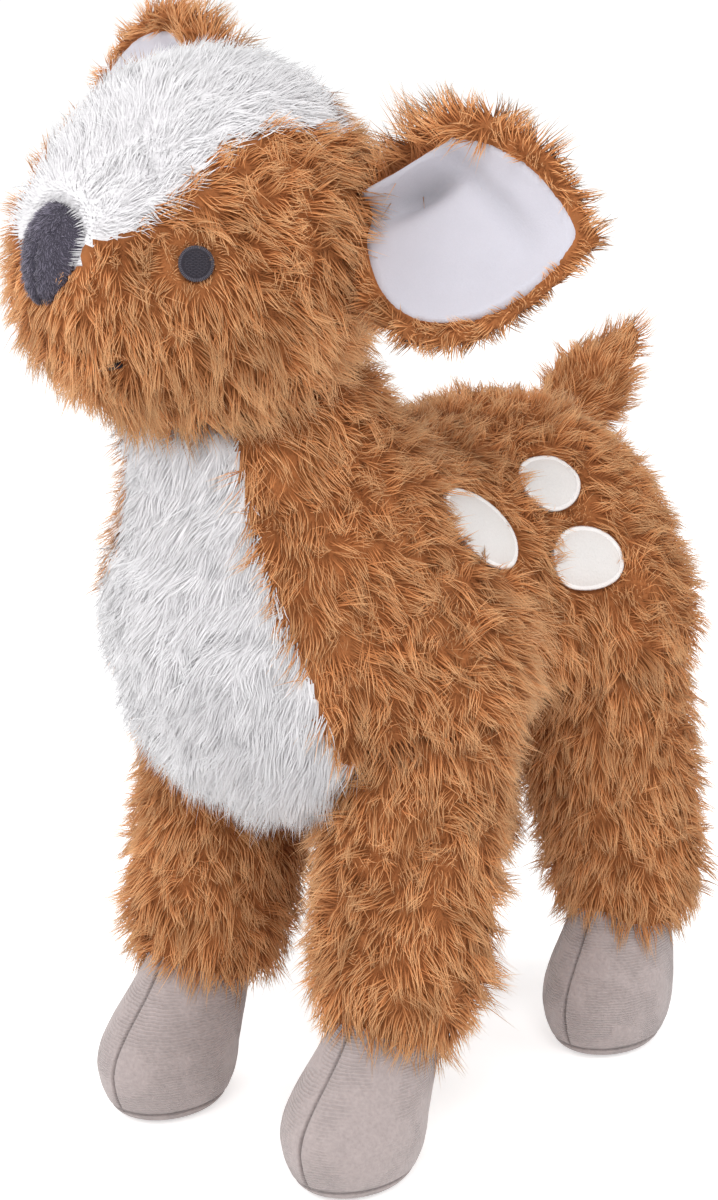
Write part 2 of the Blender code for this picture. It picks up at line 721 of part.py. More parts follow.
tail_mesh = limb_mesh("tail", tail_form, tail_root, tail_tip, TAIL_ROUND, TAIL_BANDS)
place("tail", tail_mesh, TAIL_FRAME, BROWN_PLUSH)
tail_sweep = swept_shape(tail_form, swings("X", TAIL_SWING), SOCKET_GAP)
tail_space = ball_mesh("tail_socket", tail_sweep, LEG_ROUND, SOCKET_RINGS)
sockets.append(place("tail_socket", tail_space, TAIL_FRAME))


# Neck: a hard packed ball that the head turns and nods on

def globe(radius):
    return lambda directions: directions * radius


ball = ball_mesh("neck_ball", globe(NECK_BALL_RADIUS), BALL_ROUND, BALL_RINGS)
place("neck_stuffing_ball", ball, NECK_FRAME, POLYESTER_FILL)
ball_space = ball_mesh("neck_socket", globe(NECK_BALL_RADIUS + SOCKET_GAP), BALL_ROUND, BALL_RINGS)
ball_socket = place("neck_ball_socket", ball_space, NECK_FRAME)


def head_about_ball(points):
    """The head's form in the neck ball's frame."""
    return head_form((points - np.array(HEAD_AT)) @ np.array(HEAD_TILT))


HEAD_MOVES = [
    turn @ nod for turn in swings("Z", HEAD_TURN, 3) for nod in swings("X", HEAD_NOD, 3)
]
head_sweep = swept_shape(head_about_ball, HEAD_MOVES, SOCKET_GAP)
head_space = ball_mesh("head_space", head_sweep, HEAD_SPACE_ROUND, HEAD_SPACE_RINGS)
sockets += [ball_socket, place("head_space", head_space, NECK_FRAME)]
for piece in (body_side_left, body_side_right, chest_bib, belly_gusset, body_stuffing):
    cut(piece, *sockets)


# Head: two face sides, the white blaze, a crown gusset and a chin gusset over one stuffing

def head_ray(turn, side):
    """Directions from the head's middle: turn runs from the nose over the crown, side leftwards."""
    turn, side = np.radians(turn), np.radians(side)
    turn, side = np.broadcast_arrays(turn, side)
    return np.stack((np.sin(side), -np.cos(side) * np.cos(turn), np.cos(side) * np.sin(turn)), -1)


def gusset_half_angle(turn):
    """Half angle of the strip between the two face sides, all the way round."""
    knots = (BLAZE_START, BLAZE_START + 12, BLAZE_BROW, BLAZE_END, NECK_EDGE, BLAZE_START + 355)
    halves = (
        BLAZE_NOSE_HALF_ANGLE, BLAZE_NOSE_HALF_ANGLE, BLAZE_BROW_HALF_ANGLE,
        CROWN_HALF_ANGLE, CHIN_HALF_ANGLE, CHIN_HALF_ANGLE,
    )
    return np.interp(turn, knots, halves, period=360)


HEAD_SEAM_ANGLE = np.degrees(SEAM_GAP / 2 / CRANIUM_HALF_LENGTH)


def head_panel(name, finish, turns, sides_at, wrap=False):
    grids = []
    for level in (0, -COVER_THICKNESS):
        rays = [head_ray(turn, sides_at(turn)) for turn in turns]
        grids.append(cast(head_form, (0, 0, 0), np.array(rays), level))
    if wrap:
        grids = [grid.transpose(1, 0, 2) for grid in grids]
    panel = place(name, loft(name, grids, wrap), HEAD_FRAME, finish)
    cut(panel, ball_socket)
    return panel


def strip(turn):
    half = gusset_half_angle(turn) - HEAD_SEAM_ANGLE
    return np.linspace(-half, half, STRIP_COLUMNS)


def face_side(side):
    def sides_at(turn):
        half = gusset_half_angle(turn) + HEAD_SEAM_ANGLE
        return side * np.linspace(half, 90, HEAD_ROWS)
    return sides_at


round_turns = np.linspace(BLAZE_START, BLAZE_START + 360, HEAD_ROUND, endpoint=False)
for side, side_name in ((LEFT, "left"), (RIGHT, "right")):
    head_panel("face_side_" + side_name, BROWN_PLUSH, round_turns, face_side(side), wrap=True)
strips = (
    ("forehead_blaze", WHITE_PLUSH, BLAZE_START, BLAZE_END, STRIP_ROWS),
    ("crown_gusset", BROWN_PLUSH, BLAZE_END, NECK_EDGE, STRIP_ROWS),
    ("chin_gusset", BROWN_PLUSH, NECK_EDGE, BLAZE_START + 360, CHIN_ROWS),
)
for name, finish, start, end, rows in strips:
    turns = np.linspace(start + HEAD_SEAM_ANGLE, end - HEAD_SEAM_ANGLE, rows)
    head_panel(name, finish, turns, strip)


def head_stuffing_shape(directions):
    return cast(head_form, (0, 0, 0), directions, -COVER_THICKNESS - STUFFING_GAP)


head_stuffing_mesh = ball_mesh("head_stuffing", head_stuffing_shape, BALL_ROUND, BALL_RINGS)
head_stuffing = place("head_stuffing", head_stuffing_mesh, HEAD_FRAME, POLYESTER_FILL)
cut(head_stuffing, ball_socket)


# Nose, eyes, mouth, ears and spots

def seat_rays(form, ray, up, flat):
    """Rays and seats on a form for flat points drawn about the place that a ray meets."""
    centre = cast(form, (0, 0, 0), ray[None, :])[0]
    across = np.cross(up, ray)
    across = across / np.linalg.norm(across)
    along = np.cross(ray, across)
    points = centre + flat[..., :1] * across + flat[..., 1:] * along
    rays = points / np.linalg.norm(points, axis=-1, keepdims=True)
    return rays, cast(form, (0, 0, 0), rays)


def pad(name, form, ray, up, outline, height, gap, carrier, finish, rings, around):
    """A closed pad on a form, with an outline by angle and a rise by share of its radius."""
    angles = np.linspace(0, 2 * np.pi, around, endpoint=False)
    shares = np.linspace(1, 0, rings + 1)[:, None, None]
    rays, seat = seat_rays(form, ray, up, shares * outline(angles))
    rise = np.array([height(share) for share in shares[:, 0, 0]])[:, None, None]
    mesh = loft(name, (seat + rays * (gap + rise), seat + rays * gap), True)
    return place(name, mesh, carrier, finish)


def thread(name, path, radius, carrier, finish, closed, around=8):
    """A round thread along a path of points, closed or with rounded ends."""
    path = np.array(path)
    if closed:
        ahead = np.roll(path, -1, axis=0) - np.roll(path, 1, axis=0)
    else:
        ahead = np.gradient(path, axis=0)
    ahead = ahead / np.linalg.norm(ahead, axis=-1, keepdims=True)
    side = np.cross(ahead, path)
    side = side / np.linalg.norm(side, axis=-1, keepdims=True)
    above = np.cross(side, ahead)
    bm = bmesh.new()
    rings = []
    for point, left, up in zip(path, side, above):
        angles = np.linspace(0, 2 * np.pi, around, endpoint=False)
        ring = point + radius * (np.outer(np.cos(angles), left) + np.outer(np.sin(angles), up))
        rings.append([bm.verts.new(corner) for corner in ring])
    pairs = list(zip(rings, rings[1:]))
    if closed:
        pairs.append((rings[-1], rings[0]))
    else:
        bm.faces.new(rings[0])
        bm.faces.new(rings[-1])
    for first, second in pairs:
        for j in range(around):
            k = (j + 1) % around
            bm.faces.new((first[j], first[k], second[k], second[j]))
    return place(name, mesh_from(bm, name), carrier, finish)


def nose_outline(angles):
    across = NOSE_HALF_WIDTH * np.cos(angles) * (1 + NOSE_TAPER_SHARE * np.sin(angles))
    return np.stack((across, NOSE_HALF_HEIGHT * np.sin(angles)), -1)


def disc_outline(radii, turn=0.0):
    turn = radians(turn)
    def outline(angles):
        x, y = radii[0] * np.cos(angles), radii[1] * np.sin(angles)
        return np.stack((x * cos(turn) - y * sin(turn), x * sin(turn) + y * cos(turn)), -1)
    return outline


def dome(thickness, edge_share):
    """Rise of a pad: a rounded edge of a share of its thickness, swelling to the middle."""
    return lambda share: thickness * (edge_share + (1 - edge_share) * (1 - share ** 2) ** 0.5)


UP = np.array((0.0, 0.0, 1.0))
nose_ray = head_ray(-NOSE_DROP_ANGLE, 0)
pad(
    "nose", head_form, nose_ray, UP, nose_outline, dome(NOSE_THICKNESS, NOSE_RIM_SHARE),
    SEAT_GAP, HEAD_FRAME, GREY_VELOUR, NOSE_RINGS, NOSE_ROUND,
)
eye_outline = disc_outline((EYE_RADIUS, EYE_RADIUS))
for side, side_name in ((LEFT, "left"), (RIGHT, "right")):
    eye_ray = head_ray(EYE_TURN_ANGLE, side * EYE_SIDE_ANGLE)
    pad(
        "eye_" + side_name, head_form, eye_ray, UP, eye_outline,
        dome(EYE_THICKNESS, EYE_RIM_SHARE), SEAT_GAP, HEAD_FRAME, DARK_THREAD, EYE_RINGS, EYE_ROUND,
    )
mouth_shares = np.linspace(-1, 1, MOUTH_POINTS)
mouth_rays = head_ray(
    -MOUTH_DROP_ANGLE + MOUTH_LIFT_ANGLE * mouth_shares ** 2, MOUTH_HALF_ANGLE * mouth_shares
)
mouth_path = cast(head_form, (0, 0, 0), mouth_rays, SEAT_GAP + MOUTH_THREAD_RADIUS)
thread("mouth_stitch", mouth_path, MOUTH_THREAD_RADIUS, HEAD_FRAME, DARK_THREAD, False)


# Ears: a furry back and a smooth lining, cupped together, that flap about the root

def make_ear(side_name, side, sweep, lift):
    ray = head_ray(EAR_TURN_ANGLE, side * EAR_SIDE_ANGLE)
    root_at = cast(head_form, (0, 0, 0), ray[None, :])[0]
    angles = (-EAR_FACE_UP, -side * lift, side * sweep)
    carrier = frame("ear_" + side_name + "_flap_axis", HEAD_FRAME, root_at, angles)
    stance = Euler([radians(angle) for angle in angles]).to_matrix()

    def head_near_ear(points):
        """The head's form as the ear sees it, at its worst over the ear's flap."""
        levels = []
        for flap in swings("Z", EAR_SWING, 3):
            levels.append(head_form(points @ np.array(stance @ flap).T + root_at))
        return np.min(levels, axis=0)

    def sheet(level, inset, columns, rows):
        shares = np.linspace(-1, 1, columns)
        outward = side * np.array((1.0, 0, 0))

        def point(u, v):
            turn = np.pi * (EAR_BASE_SHARE + (1 - EAR_BASE_SHARE) * np.clip(u, 0, 1))
            half = EAR_HALF_WIDTH * np.sin(turn) ** EAR_FULLNESS_SHARE
            half = np.maximum(half - inset, 0)
            cup = EAR_CUP * v ** 2 * (half / EAR_HALF_WIDTH)
            bend = EAR_BEND * u ** 2
            return np.stack((side * EAR_LENGTH * u, level - cup - bend, half * v), -1)

        rays = np.broadcast_to(outward, (columns, 3))
        first = np.zeros(columns)
        for _ in range(ROOT_CASTS):
            starts = point(first, shares)
            starts[:, 0] = -side * EAR_ROOT
            roots = cast(head_near_ear, starts, rays, EAR_GAP)
            first = side * roots[:, 0] / EAR_LENGTH
        last = 1 - inset / EAR_LENGTH
        steps = np.linspace(0, 1, rows)[:, None]
        return point(first + steps * (last - first), np.broadcast_to(shares, (rows, columns)))

    back = [sheet(level, 0.0, EAR_COLUMNS, EAR_ROWS) for level in (EAR_THICKNESS, 0.0)]
    place("ear_back_" + side_name, loft("ear", back), carrier, BROWN_PLUSH)
    faces = (-SEAT_GAP - LINING_THICKNESS, -SEAT_GAP)
    lining = [sheet(level, LINING_INSET, LINING_COLUMNS, LINING_ROWS) for level in faces]
    place("ear_lining_" + side_name, loft("lining", lining), carrier, WHITE_VELOUR)


make_ear("left", LEFT, LEFT_EAR_SWEEP, LEFT_EAR_LIFT)
make_ear("right", RIGHT, RIGHT_EAR_SWEEP, RIGHT_EAR_LIFT)


# Spots: three velour patches with satin stitched edges on each haunch

LOIN_AT = (0, LOIN_BACK, BODY_HEIGHT)
LOIN_FRAME = frame("loin_middle", DEER_FRAME, LOIN_AT)


def body_about_loin(points):
    return body_form(points + np.array(LOIN_AT))


def make_spot(name, radii, aim, side):
    back, up, tilt = aim
    ray = np.array((
        side * cos(radians(up)) * cos(radians(back)), cos(radians(up)) * sin(radians(back)),
        sin(radians(up)),
    ))
    pad(
        name, body_about_loin, ray, UP, disc_outline(radii, side * tilt),
        dome(SPOT_THICKNESS, SPOT_RIM_SHARE), SPOT_SEAT_GAP, LOIN_FRAME, WHITE_VELOUR,
        SPOT_RINGS, SPOT_ROUND,
    )
    wide = [radius + SEAT_GAP + SPOT_EDGE_RADIUS for radius in radii]
    angles = np.linspace(0, 2 * np.pi, EDGE_POINTS, endpoint=False)
    flat = disc_outline(wide, side * tilt)(angles)
    rays, seat = seat_rays(body_about_loin, ray, UP, flat)
    path = seat + rays * (SPOT_SEAT_GAP + SPOT_EDGE_RADIUS)
    thread(name + "_edge", path, SPOT_EDGE_RADIUS, LOIN_FRAME, WHITE_THREAD, True, EDGE_SIDES)


spots = (
    ("upper", UPPER_SPOT_RADII, UPPER_SPOT_AIM),
    ("front", FRONT_SPOT_RADII, FRONT_SPOT_AIM),
    ("rear", REAR_SPOT_RADII, REAR_SPOT_AIM),
)
for side, side_name in ((LEFT, "left"), (RIGHT, "right")):
    for spot_name, radii, aim in spots:
        make_spot("spot_" + spot_name + "_" + side_name, radii, aim, side)


# The deer's origin is on the ground, under the middle of its box

bpy.context.view_layer.update()
GRAPH = bpy.context.evaluated_depsgraph_get()
corners = []
for piece in DEER.objects:
    if piece.type == "MESH":
        shape = piece.evaluated_get(GRAPH)
        corners += [piece.matrix_world @ vertex.co for vertex in shape.data.vertices]
corners = np.array(corners)
lowest, highest = corners.min(axis=0), corners.max(axis=0)
DEER_FRAME.location = (-(lowest[0] + highest[0]) / 2, -(lowest[1] + highest[1]) / 2, -lowest[2])
bpy.context.view_layer.update()
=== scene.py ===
import json
from math import radians, tau

import bmesh
import bpy
import numpy as np
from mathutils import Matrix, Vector, noise
from mathutils.bvhtree import BVHTree


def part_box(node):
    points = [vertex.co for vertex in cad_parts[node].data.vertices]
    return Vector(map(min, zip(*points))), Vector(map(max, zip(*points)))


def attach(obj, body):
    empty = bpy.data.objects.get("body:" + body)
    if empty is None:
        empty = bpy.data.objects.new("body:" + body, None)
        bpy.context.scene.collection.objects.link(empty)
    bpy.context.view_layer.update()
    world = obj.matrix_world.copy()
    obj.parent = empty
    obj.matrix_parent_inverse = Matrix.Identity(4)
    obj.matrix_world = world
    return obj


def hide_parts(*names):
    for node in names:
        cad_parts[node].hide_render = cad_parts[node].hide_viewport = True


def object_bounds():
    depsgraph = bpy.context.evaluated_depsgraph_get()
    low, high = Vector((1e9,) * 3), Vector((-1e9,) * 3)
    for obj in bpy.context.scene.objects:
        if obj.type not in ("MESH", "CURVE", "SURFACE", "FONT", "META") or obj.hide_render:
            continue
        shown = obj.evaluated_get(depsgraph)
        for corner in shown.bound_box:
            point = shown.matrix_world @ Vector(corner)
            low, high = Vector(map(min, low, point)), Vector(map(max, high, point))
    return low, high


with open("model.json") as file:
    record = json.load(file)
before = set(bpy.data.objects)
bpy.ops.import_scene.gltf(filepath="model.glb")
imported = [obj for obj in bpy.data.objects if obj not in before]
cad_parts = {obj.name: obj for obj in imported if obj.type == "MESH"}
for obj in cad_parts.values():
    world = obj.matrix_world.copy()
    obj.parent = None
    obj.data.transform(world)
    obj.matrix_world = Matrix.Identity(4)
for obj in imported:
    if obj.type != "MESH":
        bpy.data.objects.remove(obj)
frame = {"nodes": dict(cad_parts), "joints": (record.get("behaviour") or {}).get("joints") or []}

cad_corners = [list(corner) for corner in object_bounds()]


# The camera stands where the photographer stood: left of the deer's face, a little above it.
# The lens and the distance are those that line up the hooves, nose, eye, ears and tail.

CAMERA_AT = (0.4034, -0.4884, 0.3025)
CAMERA_AIM = (-0.01715, 0.0006, 0.1285)
LENS_MM, SENSOR_MM = 78, 36
NEAREST_SEEN = 0.05
scene = bpy.context.scene


def link(name, data):
    made = bpy.data.objects.new(name, data)
    scene.collection.objects.link(made)
    return made


def turn_to_aim(at):
    """The turn that points a camera or a lamp at the deer."""
    return (Vector(CAMERA_AIM) - Vector(at)).to_track_quat("-Z", "Y").to_euler()


camera_data = bpy.data.cameras.new("camera")
camera_data.sensor_fit = "VERTICAL"
camera_data.sensor_height = SENSOR_MM
camera_data.lens = LENS_MM
camera_data.clip_start = NEAREST_SEEN
camera = link("camera", camera_data)
camera.location = CAMERA_AT
camera.rotation_euler = turn_to_aim(CAMERA_AT)
scene.camera = camera


# The studio: a plain white floor, an even white surround and three large soft lamps.
# Both look pure white to the camera, and the floor keeps the deer's soft shadow.

FLOOR_HALF = 40.0
FLOOR_LIFT, FLOOR_BOUNCE = 0.50, 0.24
AMBIENT, AS_SEEN = 0.66, 1.0
WHITE, FLOOR_GREY = (1, 1, 1, 1), (0.86, 0.86, 0.86, 1)
LAMP_WIDTH = 0.9
scene.view_settings.view_transform = "Standard"


def node(tree, kind, inputs=(), **settings):
    """A node. Words with a small letter are its settings, and those with a capital are inputs by name."""
    made = tree.nodes.new(kind)
    inputs = dict(inputs)
    for key, value in settings.items():
        if key[0].isupper():
            inputs[key.replace("_", " ")] = value
        else:
            setattr(made, key, value)
    for key, value in inputs.items():
        if isinstance(value, bpy.types.NodeSocket):
            tree.links.new(value, made.inputs[key])
        else:
            made.inputs[key].default_value = value
    return made


def outcome(*described, **settings):
    """The first output of a new node."""
    return node(*described, **settings).outputs[0]


def maths(tree, operation, *values):
    """One step of arithmetic in a node tree."""
    return outcome(tree, "ShaderNodeMath", dict(enumerate(values)), operation=operation)


world = bpy.data.worlds.new("studio")
world.use_nodes = True
scene.world = world
surround = world.node_tree
surround.nodes.clear()
sees = node(surround, "ShaderNodeLightPath").outputs
direct = maths(surround, "MAXIMUM", sees["Is Camera Ray"], sees["Is Glossy Ray"])
strength = outcome(surround, "ShaderNodeMapRange", Value=direct, To_Min=AMBIENT, To_Max=AS_SEEN)
glow = outcome(surround, "ShaderNodeBackground", Color=WHITE, Strength=strength)
node(surround, "ShaderNodeOutputWorld", Surface=glow)


def new_finish(name):
    """An empty material and its node tree."""
    finish = bpy.data.materials.new(name)
    finish.use_nodes = True
    finish.node_tree.nodes.clear()
    return finish, finish.node_tree


floor_finish, tree = new_finish("studio_floor")
sees = node(tree, "ShaderNodeLightPath").outputs
paint = outcome(tree, "ShaderNodeBsdfDiffuse", Color=FLOOR_GREY)
strength = outcome(
    tree, "ShaderNodeMapRange", Value=sees["Is Camera Ray"], To_Min=FLOOR_BOUNCE, To_Max=FLOOR_LIFT,
)
lift = outcome(tree, "ShaderNodeEmission", Color=WHITE, Strength=strength)
lit = outcome(tree, "ShaderNodeAddShader", {0: paint, 1: lift})
node(tree, "ShaderNodeOutputMaterial", Surface=lit)

corners = [(x * FLOOR_HALF, y * FLOOR_HALF, 0) for x, y in ((-1, -1), (1, -1), (1, 1), (-1, 1))]
floor_mesh = bpy.data.meshes.new("studio_floor")
floor_mesh.from_pydata(corners, [], [(0, 1, 2, 3)])
floor_mesh.materials.append(floor_finish)
studio_floor = link("studio_floor", floor_mesh)

for name, at, power in (
    ("key_lamp", (0.75, -0.95, 1.25), 13.0),
    ("fill_lamp", (-0.95, -0.75, 0.70), 7.5),
    ("side_lamp", (1.10, 0.35, 0.75), 3.5),
):
    lamp_data = bpy.data.lights.new(name, "AREA")
    lamp_data.size = LAMP_WIDTH
    lamp_data.energy = power
    lamp = link(name, lamp_data)
    lamp.location = at
    lamp.rotation_euler = turn_to_aim(at)


# The body: a stuffed skin of woven ground cloth, sewn from two sides, a belly gusset and a bib.
# The ground is dyed with the pile, so it shows only as a dark depth between the locks.

BODY_VOXEL = 0.0018
GROUND_SMOOTHING, SMOOTHING_SHARE = 12, 0.5
SAME_PLACE = 1e-6
LUMP_SCALE, LUMP_SHARE = 260.0, 0.45


def opened(items):
    """Some meshes, or solids of the frame by name, joined as one mesh to edit."""
    bm = bmesh.new()
    for each in items:
        bm.from_mesh(frame["nodes"][each].data if isinstance(each, str) else each)
    return bm


def closed(bm, mesh):
    bm.to_mesh(mesh)
    bm.free()
    return mesh


def as_mesh(piece, name):
    """The piece's evaluated mesh, as a plain mesh of its own."""
    graph = bpy.context.evaluated_depsgraph_get()
    mesh = bpy.data.meshes.new_from_object(piece.evaluated_get(graph))
    mesh.name = name
    bpy.data.objects.remove(piece)
    return mesh


def cad_mesh(name, nodes):
    """A joined copy of some solids of the frame, with their loose triangles merged."""
    bm = opened(nodes)
    bmesh.ops.remove_doubles(bm, verts=bm.verts, dist=SAME_PLACE)
    return closed(bm, bpy.data.meshes.new(name))


def largest_shell(mesh):
    """Drops every shell of the mesh but the one with the most faces."""
    bm = opened([mesh])
    left, shells = set(bm.faces), []
    while left:
        shell, edge = [], [left.pop()]
        while edge:
            face = edge.pop()
            shell.append(face)
            for side in face.edges:
                for other in side.link_faces:
                    if other in left:
                        left.discard(other)
                        edge.append(other)
        shells.append(shell)
    shells.sort(key=len)
    bmesh.ops.delete(bm, geom=[face for shell in shells[:-1] for face in shell], context="FACES")
    closed(bm, mesh)


def stuffed_skin(name, nodes, voxel=BODY_VOXEL, smoothing=GROUND_SMOOTHING):
    """One smooth closed skin over covers and stuffing."""
    rough = link(name + "_rough", cad_mesh(name, nodes))
    remesh = rough.modifiers.new("remesh", "REMESH")
    remesh.mode = "VOXEL"
    remesh.voxel_size = voxel
    ease = rough.modifiers.new("ease", "SMOOTH")
    ease.factor = SMOOTHING_SHARE
    ease.iterations = smoothing
    mesh = as_mesh(rough, name)
    largest_shell(mesh)
    mesh.shade_smooth()
    return mesh


def places(mesh):
    """Where the mesh's vertices are, and which way they face."""
    read = []
    for held, key in ((mesh.vertices, "co"), (mesh.vertex_normals, "vector")):
        values = np.empty(len(held) * 3, np.float32)
        held.foreach_get(key, values)
        read.append(values.reshape(-1, 3).astype(float))
    return read


def move(mesh, at):
    """Puts the mesh's vertices in new places, and returns what places returns."""
    mesh.vertices.foreach_set("co", at.astype(np.float32).ravel())
    mesh.update()
    return places(mesh)


def hold(mesh, **values):
    """Stores numbers or vectors on the mesh's vertices, each under its name."""
    for label, value in values.items():
        value = np.ascontiguousarray(value, np.float32)
        sort, key = ("FLOAT_VECTOR", "vector") if value.ndim == 2 else ("FLOAT", "value")
        mesh.attributes.new(label, sort, "POINT").data.foreach_set(key, value.ravel())


def corners_of(solid):
    return np.array([list(vertex.co) for vertex in frame["nodes"][solid].data.vertices])


def extent(solid):
    """The low and the high corner of a solid's box."""
    return np.array([list(corner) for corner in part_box(solid)])


def search_in(items):
    """A search tree over some meshes, or solids of the frame by name."""
    bm = opened(items)
    found = BVHTree.FromBMesh(bm)
    bm.free()
    return found


def distance_to(points, items):
    """How far each point is from the nearest of the solids."""
    search = search_in(items)
    return np.array([search.find_nearest(Vector(point))[3] for point in points])


def way_to(points, items):
    """The way from each point to the nearest place on the solids."""
    search = search_in(items)
    return unit(np.array([search.find_nearest(Vector(point))[0] for point in points]) - points)


def smooth_step(values, low, high):
    share = np.clip((values - low) / (high - low), 0, 1)
    return share * share * (3 - 2 * share)


def fade(values, low, high):
    return 1 - smooth_step(values, low, high)


def hump(values, middle, width):
    return np.exp(-(((values - middle) / width) ** 2))


def unit(vectors):
    return vectors / np.maximum(np.linalg.norm(vectors, axis=-1, keepdims=True), 1e-9)


def along_skin(vectors, facing):
    """The part of each vector that lies in the skin."""
    return vectors - facing * np.sum(vectors * facing, axis=-1, keepdims=True)


def level_and_rising(out):
    """The level way and the rising way in a plane that faces out."""
    level = unit(np.cross((0, 0, 1), out))
    return level, np.cross(out, level)


def closed_curve(corners, count):
    """A smooth closed curve through some corners, as evenly numbered points."""
    corners = np.array(corners)
    steps = np.arange(count) / count * len(corners)
    first = steps.astype(int)
    share = (steps - first)[:, None]
    a, b, c, d = (corners[(first + shift) % len(corners)] for shift in (-1, 0, 1, 2))
    return b + 0.5 * share * (c - a + share * (2 * a - 5 * b + 4 * c - d + share * (3 * (b - c) + d - a)))


def eased(values, reach):
    """Values round a closed ring, each as the mean of its neighbours."""
    return np.convolve(np.tile(values, 3), np.ones(reach) / reach, "same")[len(values):2 * len(values)]


def beyond_rim(flat, rim):
    """How far flat points lie outside a rim around their origin, below zero inside."""
    angles, reach = np.arctan2(rim[:, 1], rim[:, 0]), np.linalg.norm(rim[:, :2], axis=1)
    edge = np.interp(np.arctan2(flat[:, 1], flat[:, 0]), angles, reach, period=tau)
    return np.linalg.norm(flat[:, :2], axis=1) - edge


def new_group(name, inputs, outputs, kind):
    """An empty node group with named sockets."""
    group = bpy.data.node_groups.new(name, kind)
    for way, sockets in (("INPUT", inputs), ("OUTPUT", outputs)):
        for label, sort in sockets.items():
            group.interface.new_socket(name=label, in_out=way, socket_type="NodeSocket" + sort)
    return group, node(group, "NodeGroupInput").outputs, node(group, "NodeGroupOutput").inputs


WEAVE_DETAIL, SOFT_DETAIL, PATCH_SCALE = 3.0, 2.0, 90.0
RIB_SCALE, RIB_DISTORTION, RIB_FINENESS = 430.0, 5.0, 0.4
RIBBED_FROM, RIBBED_TO = 0.42, 0.58
# Darkening of the rib grooves, of seams and of the ear lining's hollow and crease: painted shade, with the
# seams' own dark line.
RIB_SHADE, SEAM_AND_FOLD_PAINTED_SHADE = -0.14, -0.40
cloth_noise, given, gives = new_group(
    "cloth_tones", {"Color": "Color", "Grain": "Float", "Depth": "Float", "Ribs": "Float"},
    {"Color": "Color", "Height": "Float"}, "ShaderNodeTree",
)
spot = node(cloth_noise, "ShaderNodeTexCoord").outputs["Object"]
weave = outcome(cloth_noise, "ShaderNodeTexNoise", Vector=spot, Scale=given["Grain"], Detail=WEAVE_DETAIL)
patches = outcome(cloth_noise, "ShaderNodeTexNoise", Vector=spot, Scale=PATCH_SCALE, Detail=SOFT_DETAIL)
shade = maths(cloth_noise, "ADD", maths(cloth_noise, "ADD", weave, patches), -1)
shade = maths(cloth_noise, "ADD", maths(cloth_noise, "MULTIPLY", shade, given["Depth"]), 1)
ribbing = node(
    cloth_noise, "ShaderNodeTexWave", Vector=spot, Scale=RIB_SCALE, Distortion=RIB_DISTORTION,
    Detail=SOFT_DETAIL, Detail_Scale=RIB_FINENESS, bands_direction="Z",
).outputs[1]
ribbed = outcome(cloth_noise, "ShaderNodeMapRange", Value=patches, From_Min=RIBBED_FROM, From_Max=RIBBED_TO)
ribbed = maths(cloth_noise, "MULTIPLY", ribbing, maths(cloth_noise, "MULTIPLY", ribbed, given["Ribs"]))
# The rib grooves are darkened by RIB_SHADE: painted shade.
shade = maths(cloth_noise, "MULTIPLY_ADD", ribbed, RIB_SHADE, shade)
# The seam attribute darkens the cloth: along seams partly their own dark line and partly painted shade in the
# groove, in the ear lining's hollow and crease painted shade.
seam_and_shade_share = node(cloth_noise, "ShaderNodeAttribute", attribute_name="seam").outputs["Fac"]
shade = maths(cloth_noise, "MULTIPLY_ADD", seam_and_shade_share, SEAM_AND_FOLD_PAINTED_SHADE, shade)
toned = outcome(cloth_noise, "ShaderNodeVectorMath", {0: given["Color"], 1: shade}, operation="MULTIPLY")
cloth_noise.links.new(toned, gives["Color"])
cloth_noise.links.new(maths(cloth_noise, "SUBTRACT", weave, ribbed), gives["Height"])
RELIEF_HEIGHT, CLOTH_GLOSS, CLOTH_SHEEN_ROUGHNESS = 0.0004, 0.2, 0.5


def cloth_finish(name, colour, grain, depth, bump, roughness=0.9, sheen=0.0, ribs=0.0):
    """Short cloth: toned by a fine grain and soft patches, with a sheen and a light bump."""
    finish, tree = new_finish(name)
    tones = node(
        tree, "ShaderNodeGroup", Color=(*colour, 1), Grain=grain, Depth=depth, Ribs=ribs,
        node_tree=cloth_noise,
    ).outputs
    relief = outcome(tree, "ShaderNodeBump", Height=tones["Height"], Strength=bump, Distance=RELIEF_HEIGHT)
    shader = outcome(
        tree, "ShaderNodeBsdfPrincipled", Base_Color=tones["Color"], Normal=relief, Roughness=roughness,
        Specular_IOR_Level=CLOTH_GLOSS, Sheen_Weight=sheen, Sheen_Roughness=CLOTH_SHEEN_ROUGHNESS,
    )
    node(tree, "ShaderNodeOutputMaterial", Surface=shader)
    return finish


brown_ground = cloth_finish("brown_under_pile", (0.33, 0.120, 0.041), grain=700.0, depth=0.7, bump=0.6,
                            roughness=0.95)
white_ground = cloth_finish("white_under_pile", (0.86, 0.845, 0.86), grain=700.0, depth=0.12, bump=0.4,
                            roughness=0.95)


def raise_skin(mesh, rise):
    """Lifts a skin to the top of its dense under-pile, in soft lumps, and returns its new places."""
    at, facing = places(mesh)
    lumps = np.array([noise.noise(Vector(point) * LUMP_SCALE) for point in at])
    return move(mesh, at + facing * (rise * (1 + LUMP_SHARE * lumps))[:, None])


def dress(name, mesh, finish, body, nodes=()):
    """A finished piece: its material, the body it rides on and the solids that it stands for."""
    mesh.materials.clear()
    mesh.materials.append(finish)
    piece = link(name, mesh)
    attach(piece, body)
    if nodes:
        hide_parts(*nodes)
    return piece


# The pile: locks of fine fibre, knitted into the ground and combed as the cloth was cut.
# Each fibre is a thin three-sided spike, and the fibres of a lock lean together at their tips.

